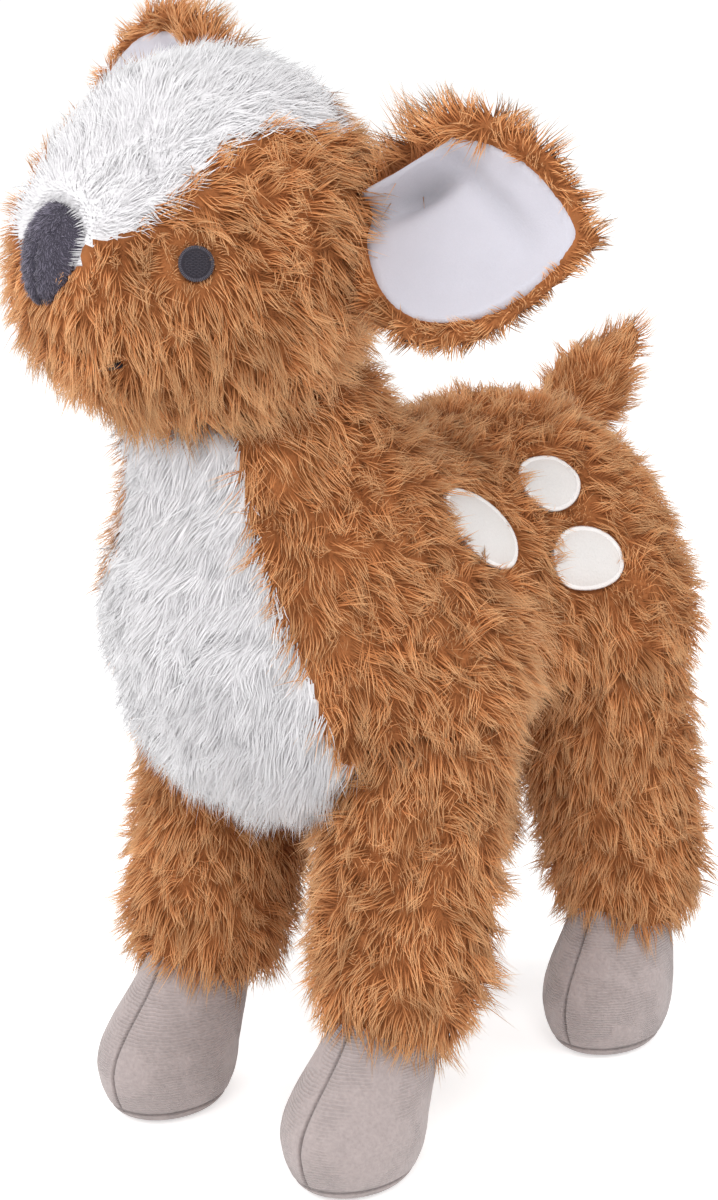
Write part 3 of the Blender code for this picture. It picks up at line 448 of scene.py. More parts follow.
POINTS_TRIED = 3.0
SWIRL_SCALE, TONE_SCALE = 75.0, 70.0
STRAY_MESS, STRAY_LENGTH, STRAY_TONE = 0.3, 0.25, 0.3
FIBRE_LENGTHS, LOCK_LENGTHS, FIBRE_WIDTHS = (0.75, 1.1), (0.85, 1.15), (0.75, 1.25)
OFF_SKIN, ROOM_SHARE, SHORTEST = 0.0003, 0.8, 0.0007
LOCK_CURL = 0.3
PATCH_TONES, FIBRE_TONES, LOCK_TONES, MIDDLE_TONE = 1.2, 0.2, 0.26, 0.5
FIBRE_SIDES, TAPER, NO_TIP = 3, -0.35, 0.001
TONE_SPAN, SIDE_SPAN, CHART_EDGE = 0.96, 0.03, 0.005
WORKING_NAMES = ("bend", "tone", "along", "side", "comb", "pile_length", "tone_shift", "freedom", "lean",
                 "long", "skin_facing", "way", "out", "reach")
pile, given, gives = new_group("pile", {
    "Geometry": "Geometry",
    **dict.fromkeys(("Spacing", "Width", "Stand", "Swirl", "Mess", "Lock Mess", "Stray", "Curl", "Sag",
                     "Lock Spacing", "Lock Pull"), "Float"),
    "Bends": "Int", "Seed": "Int", "Softness": "Float", "Neighbour": "Object", "Finish": "Material",
}, {"Geometry": "Geometry"}, "GeometryNodeTree")


def named(name, sort="FLOAT", tree=pile):
    return outcome(tree, "GeometryNodeInputNamedAttribute", Name=name, data_type=sort)


def plus(*values):
    return maths(pile, "ADD", *values)


def times(*values):
    return maths(pile, "MULTIPLY", *values)


def times_plus(*values):
    return maths(pile, "MULTIPLY_ADD", *values)


def combined(operation, *vectors):
    return outcome(pile, "ShaderNodeVectorMath", dict(enumerate(vectors)), operation=operation)


def sum_of(first, *others):
    for other in others:
        first = combined("ADD", first, other)
    return first


def scaled(vector, amount):
    return outcome(pile, "ShaderNodeVectorMath", {0: vector, "Scale": amount}, operation="SCALE")


def drawn(inputs, draw, picked, sort):
    """A random value for each fibre, or for each picked lock. Every draw has its own number."""
    inputs["Seed"] = plus(given["Seed"], draw)
    if picked:
        inputs["ID"] = picked
    return node(pile, "FunctionNodeRandomValue", inputs, data_type=sort).outputs


def any_vector(draw, picked=None):
    return drawn({0: (-1, -1, -1), 1: (1, 1, 1)}, draw, picked, "FLOAT_VECTOR")[0]


def any_share(low, high, draw, picked=None):
    return drawn({2: low, 3: high}, draw, picked, "FLOAT")[1]


def store(geometry, name, value, sort="FLOAT", domain="POINT"):
    return outcome(
        pile, "GeometryNodeStoreNamedAttribute", Geometry=geometry, Name=name, Value=value, data_type=sort,
        domain=domain,
    )


def scatter(spacing, seed):
    """Random points on the skin, none closer together than the spacing."""
    return node(
        pile, "GeometryNodeDistributePointsOnFaces", Mesh=given["Geometry"], Distance_Min=spacing,
        Seed=seed, Density_Max=maths(pile, "DIVIDE", POINTS_TRIED, times(spacing, spacing)),
        distribute_method="POISSON",
    ).outputs


def triple(**values):
    return outcome(pile, "ShaderNodeCombineXYZ", values)


points = scatter(given["Spacing"], given["Seed"])
locks = scatter(given["Lock Spacing"], plus(given["Seed"], 7))["Points"]
here = outcome(pile, "GeometryNodeInputPosition")
facing = points["Normal"]
picked = outcome(pile, "GeometryNodeSampleNearest", Geometry=locks)
lock_at = outcome(
    pile, "GeometryNodeSampleIndex", Geometry=locks, Value=here, Index=picked, data_type="FLOAT_VECTOR",
)
combed = named("comb", "FLOAT_VECTOR")
freedom = named("freedom")
swirls = node(pile, "ShaderNodeTexNoise", Vector=here, Scale=SWIRL_SCALE, Detail=1.0).outputs["Color"]
swirls = combined("SUBTRACT", swirls, (0.5, 0.5, 0.5))
strays = maths(pile, "LESS_THAN", any_share(0, 1, 11), given["Stray"])
mess = times_plus(strays, STRAY_MESS, given["Mess"])
lean = combined("NORMALIZE", sum_of(
    scaled(facing, given["Stand"]), combed, scaled(swirls, times(given["Swirl"], freedom)),
    scaled(any_vector(1), times(mess, freedom)),
    scaled(any_vector(2, picked), times(given["Lock Mess"], freedom)),
))
length = times(named("pile_length"), any_share(*FIBRE_LENGTHS, 3))
length = times(length, times_plus(strays, STRAY_LENGTH, 1))
length = times(length, any_share(*LOCK_LENGTHS, 4, picked))
neighbour = node(pile, "GeometryNodeObjectInfo", Object=given["Neighbour"]).outputs["Geometry"]
met = node(
    pile, "GeometryNodeRaycast", Target_Geometry=neighbour,
    Source_Position=sum_of(here, scaled(facing, OFF_SKIN)), Ray_Direction=lean, Ray_Length=length,
).outputs
length = outcome(pile, "GeometryNodeSwitch", {
    "Switch": met["Is Hit"], "False": length, "True": times(met["Hit Distance"], ROOM_SHARE),
}, input_type="FLOAT")
bend = sum_of(
    scaled(combined("SUBTRACT", lock_at, here), given["Lock Pull"]),
    scaled(combed, times(length, given["Curl"])),
    scaled((0, 0, -1), times(length, given["Sag"])),
    scaled(any_vector(5, picked), times(length, times(freedom, LOCK_CURL))),
)
patch = outcome(pile, "ShaderNodeTexNoise", Vector=here, Scale=TONE_SCALE, Detail=2.0)
tone = times_plus(maths(pile, "SUBTRACT", patch, 0.5), PATCH_TONES, MIDDLE_TONE)
tone = plus(tone, any_share(-FIBRE_TONES, FIBRE_TONES, 6))
tone = plus(tone, any_share(-LOCK_TONES, LOCK_TONES, 8, picked))
tone = plus(times_plus(strays, STRAY_TONE, tone), named("tone_shift"))
tone = outcome(pile, "ShaderNodeClamp", Value=tone)

roots = store(points["Points"], "bend", bend, "FLOAT_VECTOR")
roots = store(roots, "tone", tone)
roots = store(roots, "skin_facing", facing, "FLOAT_VECTOR")
roots = store(roots, "lean", lean, "FLOAT_VECTOR")
roots = store(roots, "long", length)
roots = outcome(
    pile, "GeometryNodeDeleteGeometry", Geometry=roots,
    Selection=maths(pile, "LESS_THAN", length, SHORTEST), domain="POINT",
)

spike = node(
    pile, "GeometryNodeMeshCone", Vertices=FIBRE_SIDES, Side_Segments=given["Bends"], Radius_Top=0.0,
    Radius_Bottom=0.5, Depth=1.0, fill_type="NGON",
).outputs["Mesh"]
x, y, z = node(pile, "ShaderNodeSeparateXYZ", {0: here}).outputs
spike = store(spike, "along", z)
spike = store(spike, "side", times_plus(maths(pile, "ARCTAN2", y, x), 1 / tau, 0.5))
fuller = maths(pile, "POWER", maths(pile, "MAXIMUM", maths(pile, "SUBTRACT", 1, z), NO_TIP), TAPER)
shape = triple(X=times(x, fuller), Y=times(y, fuller), Z=z)
spike = outcome(pile, "GeometryNodeSetPosition", Geometry=spike, Position=shape)

roll = outcome(pile, "FunctionNodeEulerToRotation", {0: triple(Z=any_share(0, tau, 9))})
turned = outcome(
    pile, "FunctionNodeAlignRotationToVector", Rotation=roll, Vector=named("lean", "FLOAT_VECTOR"),
    axis="Z",
)
thick = times(given["Width"], any_share(*FIBRE_WIDTHS, 10))
spikes = outcome(
    pile, "GeometryNodeInstanceOnPoints", Points=roots, Instance=spike, Rotation=turned,
    Scale=triple(X=thick, Y=thick, Z=named("long")),
)
spikes = outcome(pile, "GeometryNodeRealizeInstances", Geometry=spikes)
along = named("along")
spikes = outcome(
    pile, "GeometryNodeSetPosition", Geometry=spikes,
    Offset=scaled(named("bend", "FLOAT_VECTOR"), times(along, along)),
)
across = times_plus(named("side"), SIDE_SPAN, times(named("tone"), TONE_SPAN))
chart = triple(X=plus(across, CHART_EDGE), Y=times_plus(along, 1 - 4 * CHART_EDGE, 2 * CHART_EDGE))
spikes = store(spikes, "OFBake", chart, "FLOAT2", "CORNER")
spikes = outcome(pile, "GeometryNodeSetShadeSmooth", Geometry=spikes, Shade_Smooth=True)
own = scaled(outcome(pile, "GeometryNodeInputNormal"), maths(pile, "SUBTRACT", 1, given["Softness"]))
soft = sum_of(own, scaled(named("skin_facing", "FLOAT_VECTOR"), given["Softness"]))
spikes = outcome(
    pile, "GeometryNodeSetMeshNormal", Mesh=spikes, Custom_Normal=combined("NORMALIZE", soft), mode="FREE",
)
spikes = outcome(pile, "GeometryNodeSetMaterial", Geometry=spikes, Material=given["Finish"])
pile.links.new(spikes, gives["Geometry"])

MIDDLE_AT = 0.45
PILE_ROUGHNESS, PILE_GLOSS, PILE_SHEEN_ROUGHNESS = 0.8, 0.12, 0.45
pile_colour, given, gives = new_group(
    "pile_colour", {"Root": "Color", "Middle": "Color", "Tip": "Color", "Spread": "Float"},
    {"Color": "Color"}, "ShaderNodeTree",
)
chart = outcome(pile_colour, "ShaderNodeUVMap", uv_map="OFBake")
tone, along = node(pile_colour, "ShaderNodeSeparateXYZ", {0: chart}).outputs[:2]
rise = outcome(
    pile_colour, "ShaderNodeMapRange", Value=along, From_Max=MIDDLE_AT, interpolation_type="SMOOTHSTEP",
)
ends = outcome(pile_colour, "ShaderNodeMapRange", Value=along, From_Min=MIDDLE_AT, From_Max=1.0)
colour = given["Root"]
for share, label in ((rise, "Middle"), (ends, "Tip")):
    mixed = node(pile_colour, "ShaderNodeMix", {0: share, 6: colour, 7: given[label]}, data_type="RGBA")
    colour = mixed.outputs[2]
tone = maths(pile_colour, "MULTIPLY_ADD", maths(pile_colour, "ADD", tone, -0.5), given["Spread"], 1)
toned = outcome(pile_colour, "ShaderNodeVectorMath", {0: colour, 1: tone}, operation="MULTIPLY")
pile_colour.links.new(toned, gives["Color"])


def pile_finish(name, root, middle, tip, spread, sheen):
    """Pile that is darker at its roots, lighter at its tips and different from lock to lock."""
    finish, tree = new_finish(name)
    tones = outcome(
        tree, "ShaderNodeGroup", Root=(*root, 1), Middle=(*middle, 1), Tip=(*tip, 1), Spread=spread,
        node_tree=pile_colour,
    )
    shader = outcome(
        tree, "ShaderNodeBsdfPrincipled", Base_Color=tones, Roughness=PILE_ROUGHNESS,
        Specular_IOR_Level=PILE_GLOSS, Sheen_Weight=sheen, Sheen_Roughness=PILE_SHEEN_ROUGHNESS,
    )
    node(tree, "ShaderNodeOutputMaterial", Surface=shader)
    return finish


BROWN_PILE = {"Spacing": 0.00068, "Width": 0.00033, "Stand": 0.75, "Swirl": 2.0, "Mess": 0.2,
              "Lock Mess": 0.55, "Stray": 0.07, "Curl": 0.2, "Sag": 0.2, "Lock Spacing": 0.0028,
              "Lock Pull": 0.66, "Bends": 2, "Softness": 0.55}
WHITE_PILE = {"Spacing": 0.00064, "Width": 0.00033, "Stand": 0.5, "Mess": 0.12, "Lock Mess": 0.12,
              "Swirl": 1.0, "Lock Pull": 0.12, "Softness": 0.97, "Sag": 0.1}
brown_pile = pile_finish("brown_pile", root=(0.30, 0.102, 0.033), middle=(0.56, 0.230, 0.086),
                         tip=(0.90, 0.54, 0.275), spread=0.6, sheen=0.08)
white_pile = pile_finish("white_pile", root=(0.84, 0.82, 0.84), middle=(0.88, 0.865, 0.88),
                         tip=(0.91, 0.90, 0.915), spread=0.03, sheen=0.15)


def made_by(group, name, mesh, **values):
    """What a node group makes of a mesh, with the group's inputs set by their names."""
    source = link(name + "_source", mesh)
    modifier = source.modifiers.new(group.name, "NODES")
    modifier.node_group = group
    for item in group.interface.items_tree:
        if item.in_out == "INPUT" and item.name in values:
            modifier[item.identifier] = values[item.name]
    made = as_mesh(source, name)
    for left in WORKING_NAMES:
        if left in made.attributes:
            made.attributes.remove(made.attributes[left])
    return made


def grow_pile(name, mesh, chosen, comb, length, body, slot, nodes, finish, neighbour, tone=0.0, freedom=1.0,
              **settings):
    """Grows the pile on the chosen faces of a skin, and returns it as a piece of its own."""
    patch, count = mesh.copy(), len(mesh.vertices)
    hold(patch, comb=comb, pile_length=length, tone_shift=np.broadcast_to(tone, count),
         freedom=np.broadcast_to(freedom, count))
    bm = opened([patch])
    bm.faces.ensure_lookup_table()
    bmesh.ops.delete(bm, geom=[bm.faces[i] for i in np.flatnonzero(~chosen)], context="FACES")
    values = {**BROWN_PILE, "Seed": len(name), **settings, "Neighbour": neighbour, "Finish": finish}
    return dress(name, made_by(pile, name, closed(bm, patch), **values), finish, body, nodes)


def faces_where(mesh, chosen):
    """Turns a choice of vertices into a choice of faces: those with most corners chosen."""
    owners = np.repeat(np.arange(len(mesh.polygons)), [face.loop_total for face in mesh.polygons])
    corner = np.empty(len(mesh.loops), np.int32)
    mesh.loops.foreach_get("vertex_index", corner)
    return np.bincount(owners, chosen[corner]) * 2 > np.bincount(owners)


def blocked(at, facing, items, reach):
    """Whether something stands close in front of each place."""
    search = search_in(items)
    return np.array([
        search.ray_cast(Vector(point + OFF_SKIN * way), Vector(way), reach)[0] is not None
        for point, way in zip(at, facing)
    ])


def claims(distances):
    """How much farther from each place each cover is than the nearest one, and which one is nearest."""
    return np.array(distances) - np.min(distances, axis=0), np.argmin(distances, axis=0)


# The body's pile: two brown sides, each of a front and a rear piece, a white bib and a belly gusset.
# It falls rearward and down, parts round the spots, and closes over the bib's seam and over the nape.

LEGS = ("front_leg_left", "front_leg_right", "rear_leg_left", "rear_leg_right")
BODY_COVERS = ("body_side_left", "body_side_right", "belly_gusset", "chest_bib")
HEAD_COVERS = ("face_side_left", "face_side_right", "forehead_blaze", "crown_gusset", "chin_gusset")
BELLY, BIB = BODY_COVERS.index("belly_gusset"), BODY_COVERS.index("chest_bib")
BLAZE, CROWN = HEAD_COVERS.index("forehead_blaze"), HEAD_COVERS.index("crown_gusset")
SPOT_SHARES = {"spot_upper": 0.95, "spot_front": 0.92, "spot_rear": 0.88}
SPOTS = [spot + side for side in ("_left", "_right") for spot in SPOT_SHARES]
SPOT_CORNERS, SPOT_STEPS, SPOT_EASING = 20, 120, 13
SPOT_DEPTH, SPOT_BARE = 0.015, 0.0004
OVERLAP, LEG_CLOSE = 0.0008, 0.0045
BIB_WIDER, BIB_WIDE_HEIGHTS = 0.005, (0.145, 0.160)
BODY_FALL, BODY_COMB = (0, 0.30, -0.75), 0.5
ROUND_SPOT, ROUND_SPOT_LESS, ROUND_SPOT_COMB = (0.0005, 0.004), 0.8, 0.12
NAPE_REACH, BEHIND_NECK, NAPE_COMB = (0.003, 0.010), (0.0, 0.008), 0.6
BIB_SEAM_REACH, BIB_SEAM_COMB = (0.001, 0.007), 0.75
SPOT_SHORT_REACH, SPOT_FREEDOM, FREER = (0.0002, 0.003), 0.35, 0.65
BODY_SHORT, BODY_LONGER, NAPE_LONGER = 0.0044, 0.0024, 0.0010
UNDER_PILE, BIB_UNDER_PILE, BIB_EDGE = 0.0019, 0.0022, (0.0, 0.004)
MIDDLE_BACK = 0.0
BELLY_SHARE, BELLY_SPACING, BELLY_WIDTH = 0.85, 0.0009, 0.0006
BIB_FALL, BIB_COMB = (-0.25, -0.1, -1.0), 0.55
BIB_LENGTH, BIB_LONGER, BIB_LONG_HEIGHTS = 0.0054, 0.0014, (0.095, 0.150)

body_skin = stuffed_skin("body_ground", BODY_COVERS + ("body_stuffing",))
head_skin = stuffed_skin("head_ground", HEAD_COVERS + ("head_stuffing",))
leg_skins = {leg: stuffed_skin(leg + "_ground", (leg + "_cover", leg + "_stuffing")) for leg in LEGS}


def barrier(name, items):
    """Everything that a pile must not grow through, in one hidden guide."""
    return link(name, closed(opened(items), bpy.data.meshes.new(name)))


def spot_rim(spot):
    """A spot's middle, its level, rising and outward axes, and its sewn edge in them."""
    tube = corners_of(spot + "_edge")
    middle = tube.mean(axis=0)
    out = np.linalg.svd(tube - middle)[2][2]
    out = out * np.sign(out[0] * middle[0])
    axes = np.stack((*level_and_rising(out), out))
    own = (tube - middle) @ axes.T
    bins = np.round(np.arctan2(own[:, 1], own[:, 0]) / tau * SPOT_CORNERS) % SPOT_CORNERS
    ring = [own[bins == number].mean(axis=0) for number in range(SPOT_CORNERS) if (bins == number).any()]
    share = SPOT_SHARES[spot.rsplit("_", 1)[0]]
    rim = [eased(values, SPOT_EASING) for values in closed_curve(ring, SPOT_STEPS).T]
    return middle, axes, np.column_stack(rim) * (share, share, 1)


def whiten(skin, chosen):
    """Gives the chosen places of a skin the white ground cloth."""
    skin.materials.append(white_ground)
    skin.polygons.foreach_set("material_index", faces_where(skin, chosen).astype(np.int32))


at, facing = places(body_skin)
hidden = blocked(at, facing, tuple(leg + "_cover" for leg in LEGS) + HEAD_COVERS, LEG_CLOSE)
middle_x = np.mean([corner[0] for corner in cad_corners])
distances = [distance_to(at, [cover]) for cover in BODY_COVERS]
from_bib = distances[BIB]
distances[BIB] = from_bib - BIB_WIDER * (at[:, 0] < middle_x) * fade(at[:, 2], *BIB_WIDE_HEIGHTS)
shortfall, nearest = claims(distances)
from_spots, from_middle = np.full(len(at), 1.0), np.zeros_like(at)
for spot in SPOTS:
    middle, axes, rim = spot_rim(spot)
    own = (at - middle) @ axes.T
    off = np.where(np.abs(own[:, 2]) < SPOT_DEPTH, beyond_rim(own, rim), 1.0)
    closer = off < from_spots
    from_middle[closer] = (at - middle)[closer]
    from_spots = np.minimum(from_spots, off)
from_middle = unit(along_skin(from_middle, facing))
comb = BODY_COMB * along_skin(BODY_FALL, facing)
around_spot = fade(from_spots, *ROUND_SPOT)[:, None]
comb = comb * (1 - ROUND_SPOT_LESS * around_spot) + from_middle * around_spot * ROUND_SPOT_COMB
neck_middle = extent("neck_stuffing_ball").mean(axis=0)
at_nape = fade(distance_to(at, HEAD_COVERS), *NAPE_REACH)
at_nape = at_nape * smooth_step(at[:, 1] - neck_middle[1], *BEHIND_NECK)
comb = comb * (1 - at_nape[:, None]) + NAPE_COMB * at_nape[:, None] * along_skin((0, 0, 1.0), facing)
by_bib = fade(from_bib, *BIB_SEAM_REACH)[:, None]
comb = comb + BIB_SEAM_COMB * by_bib * along_skin(way_to(at, ["chest_bib"]), facing)
away = smooth_step(from_spots, *SPOT_SHORT_REACH)
length = BODY_SHORT + BODY_LONGER * away + NAPE_LONGER * at_nape
freedom = SPOT_FREEDOM + FREER * away
bare = hidden | (from_spots < SPOT_BARE)
on_bib = fade(distances[BIB], *BIB_EDGE)
at, facing = raise_skin(body_skin, np.where(hidden, 0.0, (UNDER_PILE + BIB_UNDER_PILE * on_bib) * away))
body_guide = barrier("body_guide", [head_skin, *leg_skins.values()])
for cover in BODY_COVERS[:2]:
    panel = ~bare & (shortfall[BODY_COVERS.index(cover)] < OVERLAP)
    for part, half in (("_front", at[:, 1] < MIDDLE_BACK), ("_rear", at[:, 1] >= MIDDLE_BACK)):
        grow_pile(cover + part + "_pile", body_skin, faces_where(body_skin, panel & half), comb, length,
                  "torso", "brown_plush", [cover], brown_pile, body_guide, freedom=freedom)
grow_pile("belly_gusset_pile", body_skin, faces_where(body_skin, ~bare & (nearest == BELLY)), comb,
          length * BELLY_SHARE, "torso", "brown_plush", ["belly_gusset"], brown_pile, body_guide,
          Spacing=BELLY_SPACING, Width=BELLY_WIDTH)
bib_length = BIB_LENGTH + BIB_LONGER * fade(at[:, 2], *BIB_LONG_HEIGHTS)
grow_pile("chest_bib_pile", body_skin, faces_where(body_skin, ~bare & (shortfall[BIB] < OVERLAP)),
          along_skin(BIB_FALL, facing) * BIB_COMB, bib_length, "torso", "white_plush", ["chest_bib"], white_pile,
          body_guide, **WHITE_PILE)
body_ground = dress("body_ground", body_skin, brown_ground, "torso", ["body_stuffing"])
whiten(body_skin, nearest == BIB)


# The head: two face sides, a white blaze, a crown gusset and a chin gusset over one filling.
# The pile runs away from the nose, is shorter on the muzzle and stays clear of the eyes.

NOSE_VOXEL, NOSE_SMOOTHING = 0.0005, 8
NOSE_SEAM_DEPTH, NOSE_SEAM_WIDTH, NOSE_SEAM_TOP = 0.0012, 0.0008, (-0.001, 0.007)
NOSE_WIDTH_SHARE, NOSE_HEIGHT_SHARE, NOSE_SHIFT = 0.87, 0.95, 0.0009
FACE_COMB, FACE_FALL = 0.4, (0, 0, -0.35)
EYE_COMB, EYE_REACH, EYE_REACH_TO_NOSE = 0.55, (0.001, 0.006), 0.0025
MOUTH_COMB, MOUTH_REACH = 0.7, (0.001, 0.006)
FAR_SIDE, FAR_SIDE_HEIGHTS = (0.004, 0.008), (-0.003, 0.008)
STRIP_WIDTH, STRIP_HEIGHTS = 0.003, (-0.007, 0.003)
NEAR_SIDE_FROM, NEAR_SIDE_TO, NEAR_SIDE_LESS = (0.0, 0.005), (0.012, 0.024), 0.75
BLAZE_WIDER, BLAZE_NARROWER, BESIDE_STRIP, BELOW_BLAZE = 0.005, 0.008, (0.0, 0.0008), (0.001, 0.005)
BLAZE_SEAM_REACH, BLAZE_SEAM_COMB, BLAZE_EDGE = (0.0005, 0.005), 0.45, (0.0, 0.004)
JOWL_HEIGHTS, JOWL_LONGER = (0.185, 0.222), 0.0010
MUZZLE_LENGTH, FACE_LONGER, MUZZLE_REACH = 0.0032, 0.0036, (0.001, 0.014)
HEAD_NAPE_REACH, HEAD_NAPE_COMB, HEAD_NAPE_LONGER = (0.003, 0.012), 0.4, 0.0022
CROWN_SHORTER, CROWN_END, CROWN_BACK = 0.45, (0.001, 0.008), 0.001
EYE_SHORT, EYE_LONGER, EYE_SHORT_REACH = 0.32, 0.68, (0.0005, 0.0048)
MOUTH_SHORT, MOUTH_LONGER, MOUTH_SHORT_REACH = 0.5, 0.5, (0.001, 0.005)
BEFORE_EYE_LESS, BEFORE_EYE_REACH, BEFORE_EYE_FREE = 0.45, (0.003, 0.010), 0.0015
FACE_FREEDOM, FACE_FREER, FACE_FREE_REACH = 0.05, 0.95, (0.0015, 0.007)
EAR_CLOSE, CLEAR_REACH, MOUTH_CLEAR_REACH = 0.004, (0.0001, 0.0025), (0.0012, 0.004)
NOSE_BARE, EYE_BARE, MOUTH_BARE = 0.0003, 0.0005, 0.0016
HEAD_UNDER_PILE, BLAZE_UNDER_PILE = 0.0017, 0.0010
EYES = ("eye_left", "eye_right")

nose_skin = stuffed_skin("nose_ground", ("nose",), NOSE_VOXEL, NOSE_SMOOTHING)
nose_at, nose_facing = places(nose_skin)
nose_low, nose_high = extent("nose")
nose_middle = (nose_low + nose_high) / 2
joints = {joint["name"]: joint for joint in frame["joints"]}
face_left = unit(np.array(joints["head_nod"]["axis"]))
nose_across = (nose_at - nose_middle) @ face_left
nose_seam = hump(nose_across, 0, NOSE_SEAM_WIDTH) * fade(nose_at[:, 2] - nose_middle[2], *NOSE_SEAM_TOP)
nose_at = nose_at - nose_facing * (NOSE_SEAM_DEPTH * nose_seam)[:, None]
nose_at = nose_at + face_left * (nose_across * (NOSE_WIDTH_SHARE - 1) + NOSE_SHIFT)[:, None]
nose_at[:, 2] = nose_low[2] + (nose_at[:, 2] - nose_low[2]) * NOSE_HEIGHT_SHARE
move(nose_skin, nose_at)

at, facing = places(head_skin)
from_nose, from_eyes = distance_to(at, [nose_skin]), distance_to(at, EYES)
offsets = at[:, None, :] - np.array([extent(eye).mean(axis=0) for eye in EYES])[None]
closest = np.argmin(np.linalg.norm(offsets, axis=-1), axis=1)
from_eye = unit(along_skin(offsets[np.arange(len(at)), closest], facing))
outward = unit(along_skin(at - nose_middle, facing))
comb = outward * FACE_COMB + along_skin(FACE_FALL, facing)
before_eye = np.clip(-(from_eye * outward).sum(axis=1), 0, 1)
around_eye = fade(from_eyes - EYE_REACH_TO_NOSE * before_eye, *EYE_REACH)[:, None]
comb = comb * (1 - around_eye) + from_eye * around_eye * EYE_COMB
mouth_at = corners_of("mouth_stitch")
mouth_end = mouth_at[np.argmax(mouth_at @ face_left)]
from_mouth = np.linalg.norm(at - mouth_end, axis=1)
parting = fade(from_mouth, *MOUTH_REACH)[:, None]
comb = comb * (1 - parting) + unit(along_skin(at - mouth_end, facing)) * parting * MOUTH_COMB

over_nose = at[:, 2] - nose_middle[2]
far_side = smooth_step((nose_middle - at) @ face_left, *FAR_SIDE)
far_side = far_side * smooth_step(over_nose, *FAR_SIDE_HEIGHTS)
near_side = smooth_step(over_nose, *NEAR_SIDE_FROM)
near_side = near_side * (1 - NEAR_SIDE_LESS * smooth_step(over_nose, *NEAR_SIDE_TO))
off_strip = smooth_step(from_nose - STRIP_WIDTH * smooth_step(over_nose, *STRIP_HEIGHTS), *BESIDE_STRIP)
below_blaze = off_strip * fade(over_nose, *BELOW_BLAZE) * (1 - far_side)
from_blaze = distance_to(at, ["forehead_blaze"]) - BLAZE_WIDER * np.maximum(near_side, far_side)
from_blaze = from_blaze + BLAZE_NARROWER * below_blaze
by_blaze = fade(from_blaze, *BLAZE_SEAM_REACH)[:, None]
comb = comb + BLAZE_SEAM_COMB * by_blaze * along_skin(way_to(at, ["forehead_blaze"]), facing)

low_jowl = fade(at[:, 2], *JOWL_HEIGHTS)
length = MUZZLE_LENGTH + FACE_LONGER * smooth_step(from_nose, *MUZZLE_REACH) + JOWL_LONGER * low_jowl
length = length * (EYE_SHORT + EYE_LONGER * smooth_step(from_eyes, *EYE_SHORT_REACH))
length = length * (MOUTH_SHORT + MOUTH_LONGER * smooth_step(from_mouth, *MOUTH_SHORT_REACH))
length = length * (1 - BEFORE_EYE_LESS * before_eye * fade(from_eyes, *BEFORE_EYE_REACH))
free_from = np.minimum(from_eyes - BEFORE_EYE_FREE * before_eye, from_nose)
freedom = FACE_FREEDOM + FACE_FREER * smooth_step(free_from, *FACE_FREE_REACH)
from_neck = distance_to(at, ["neck_stuffing_ball"])
at_nape = fade(from_neck, *HEAD_NAPE_REACH) * smooth_step(at[:, 1] - neck_middle[1], *BEHIND_NECK)
comb = comb + HEAD_NAPE_COMB * at_nape[:, None] * along_skin((0, 0, -1.0), facing)
length = length + HEAD_NAPE_LONGER * at_nape
distances = [distance_to(at, [cover]) for cover in HEAD_COVERS]
distances[BLAZE] = from_blaze
distances[CROWN] = distances[CROWN] + CROWN_BACK
shortfall, nearest = claims(distances)
length = length * np.where(nearest == CROWN, 1 - CROWN_SHORTER * fade(from_blaze, *CROWN_END), 1.0)
hidden = blocked(at, facing, ("ear_back_left", "ear_back_right", "neck_stuffing_ball"), EAR_CLOSE)
bare = hidden | (from_nose < NOSE_BARE) | (from_eyes < EYE_BARE) | (from_mouth < MOUTH_BARE)
clear = smooth_step(np.minimum(from_nose, from_eyes), *CLEAR_REACH)
clear = clear * smooth_step(from_mouth, *MOUTH_CLEAR_REACH)
under_pile = (HEAD_UNDER_PILE + BLAZE_UNDER_PILE * fade(from_blaze, *BLAZE_EDGE)) * clear
at, facing = raise_skin(head_skin, np.where(hidden, 0.0, under_pile))
head_guide = barrier("head_guide", [body_skin, cad_mesh("ears", ["ear_back_left", "ear_back_right"])])

FACE_SPACING, BLAZE_SHARE = 0.00060, 0.72
BLAZE_START, BLAZE_FLOW, BLAZE_FLOW_REACH, BLAZE_FALL = 0.25, 0.8, (0.0, 0.005), (0, 0, -0.1)
MUZZLE_TONE, MUZZLE_TONE_REACH = 0.16, (0.008, 0.030)
off_nose = BLAZE_FLOW * smooth_step(from_nose, *BLAZE_FLOW_REACH) - BLAZE_START
blaze_comb = outward * off_nose[:, None] + along_skin(BLAZE_FALL, facing)
muzzle_tone = MUZZLE_TONE * fade(from_nose, *MUZZLE_TONE_REACH)
for cover, settings in (
    ("face_side_left", {"Spacing": FACE_SPACING}), ("face_side_right", {"Spacing": FACE_SPACING}),
    ("forehead_blaze", WHITE_PILE), ("crown_gusset", {}), ("chin_gusset", {}),
):
    chosen = faces_where(head_skin, ~bare & (shortfall[HEAD_COVERS.index(cover)] < OVERLAP))
    if cover == "forehead_blaze":
        flow, long, slot, finish, tone = blaze_comb, length * BLAZE_SHARE, "white_plush", white_pile, 0.0
    else:
        flow, long, slot, finish, tone = comb, length, "brown_plush", brown_pile, muzzle_tone
    grow_pile(cover + "_pile", head_skin, chosen, flow, long, "head", slot, [cover], finish, head_guide,
              tone, freedom, **settings)
head_ground = dress("head_ground", head_skin, brown_ground, "head", ["head_stuffing"])
whiten(head_skin, nearest == BLAZE)


# The legs: tubes of plush, stuffed firmly and sewn into the body at the hip.
# The pile falls down the leg and hides the hem over the hoof.

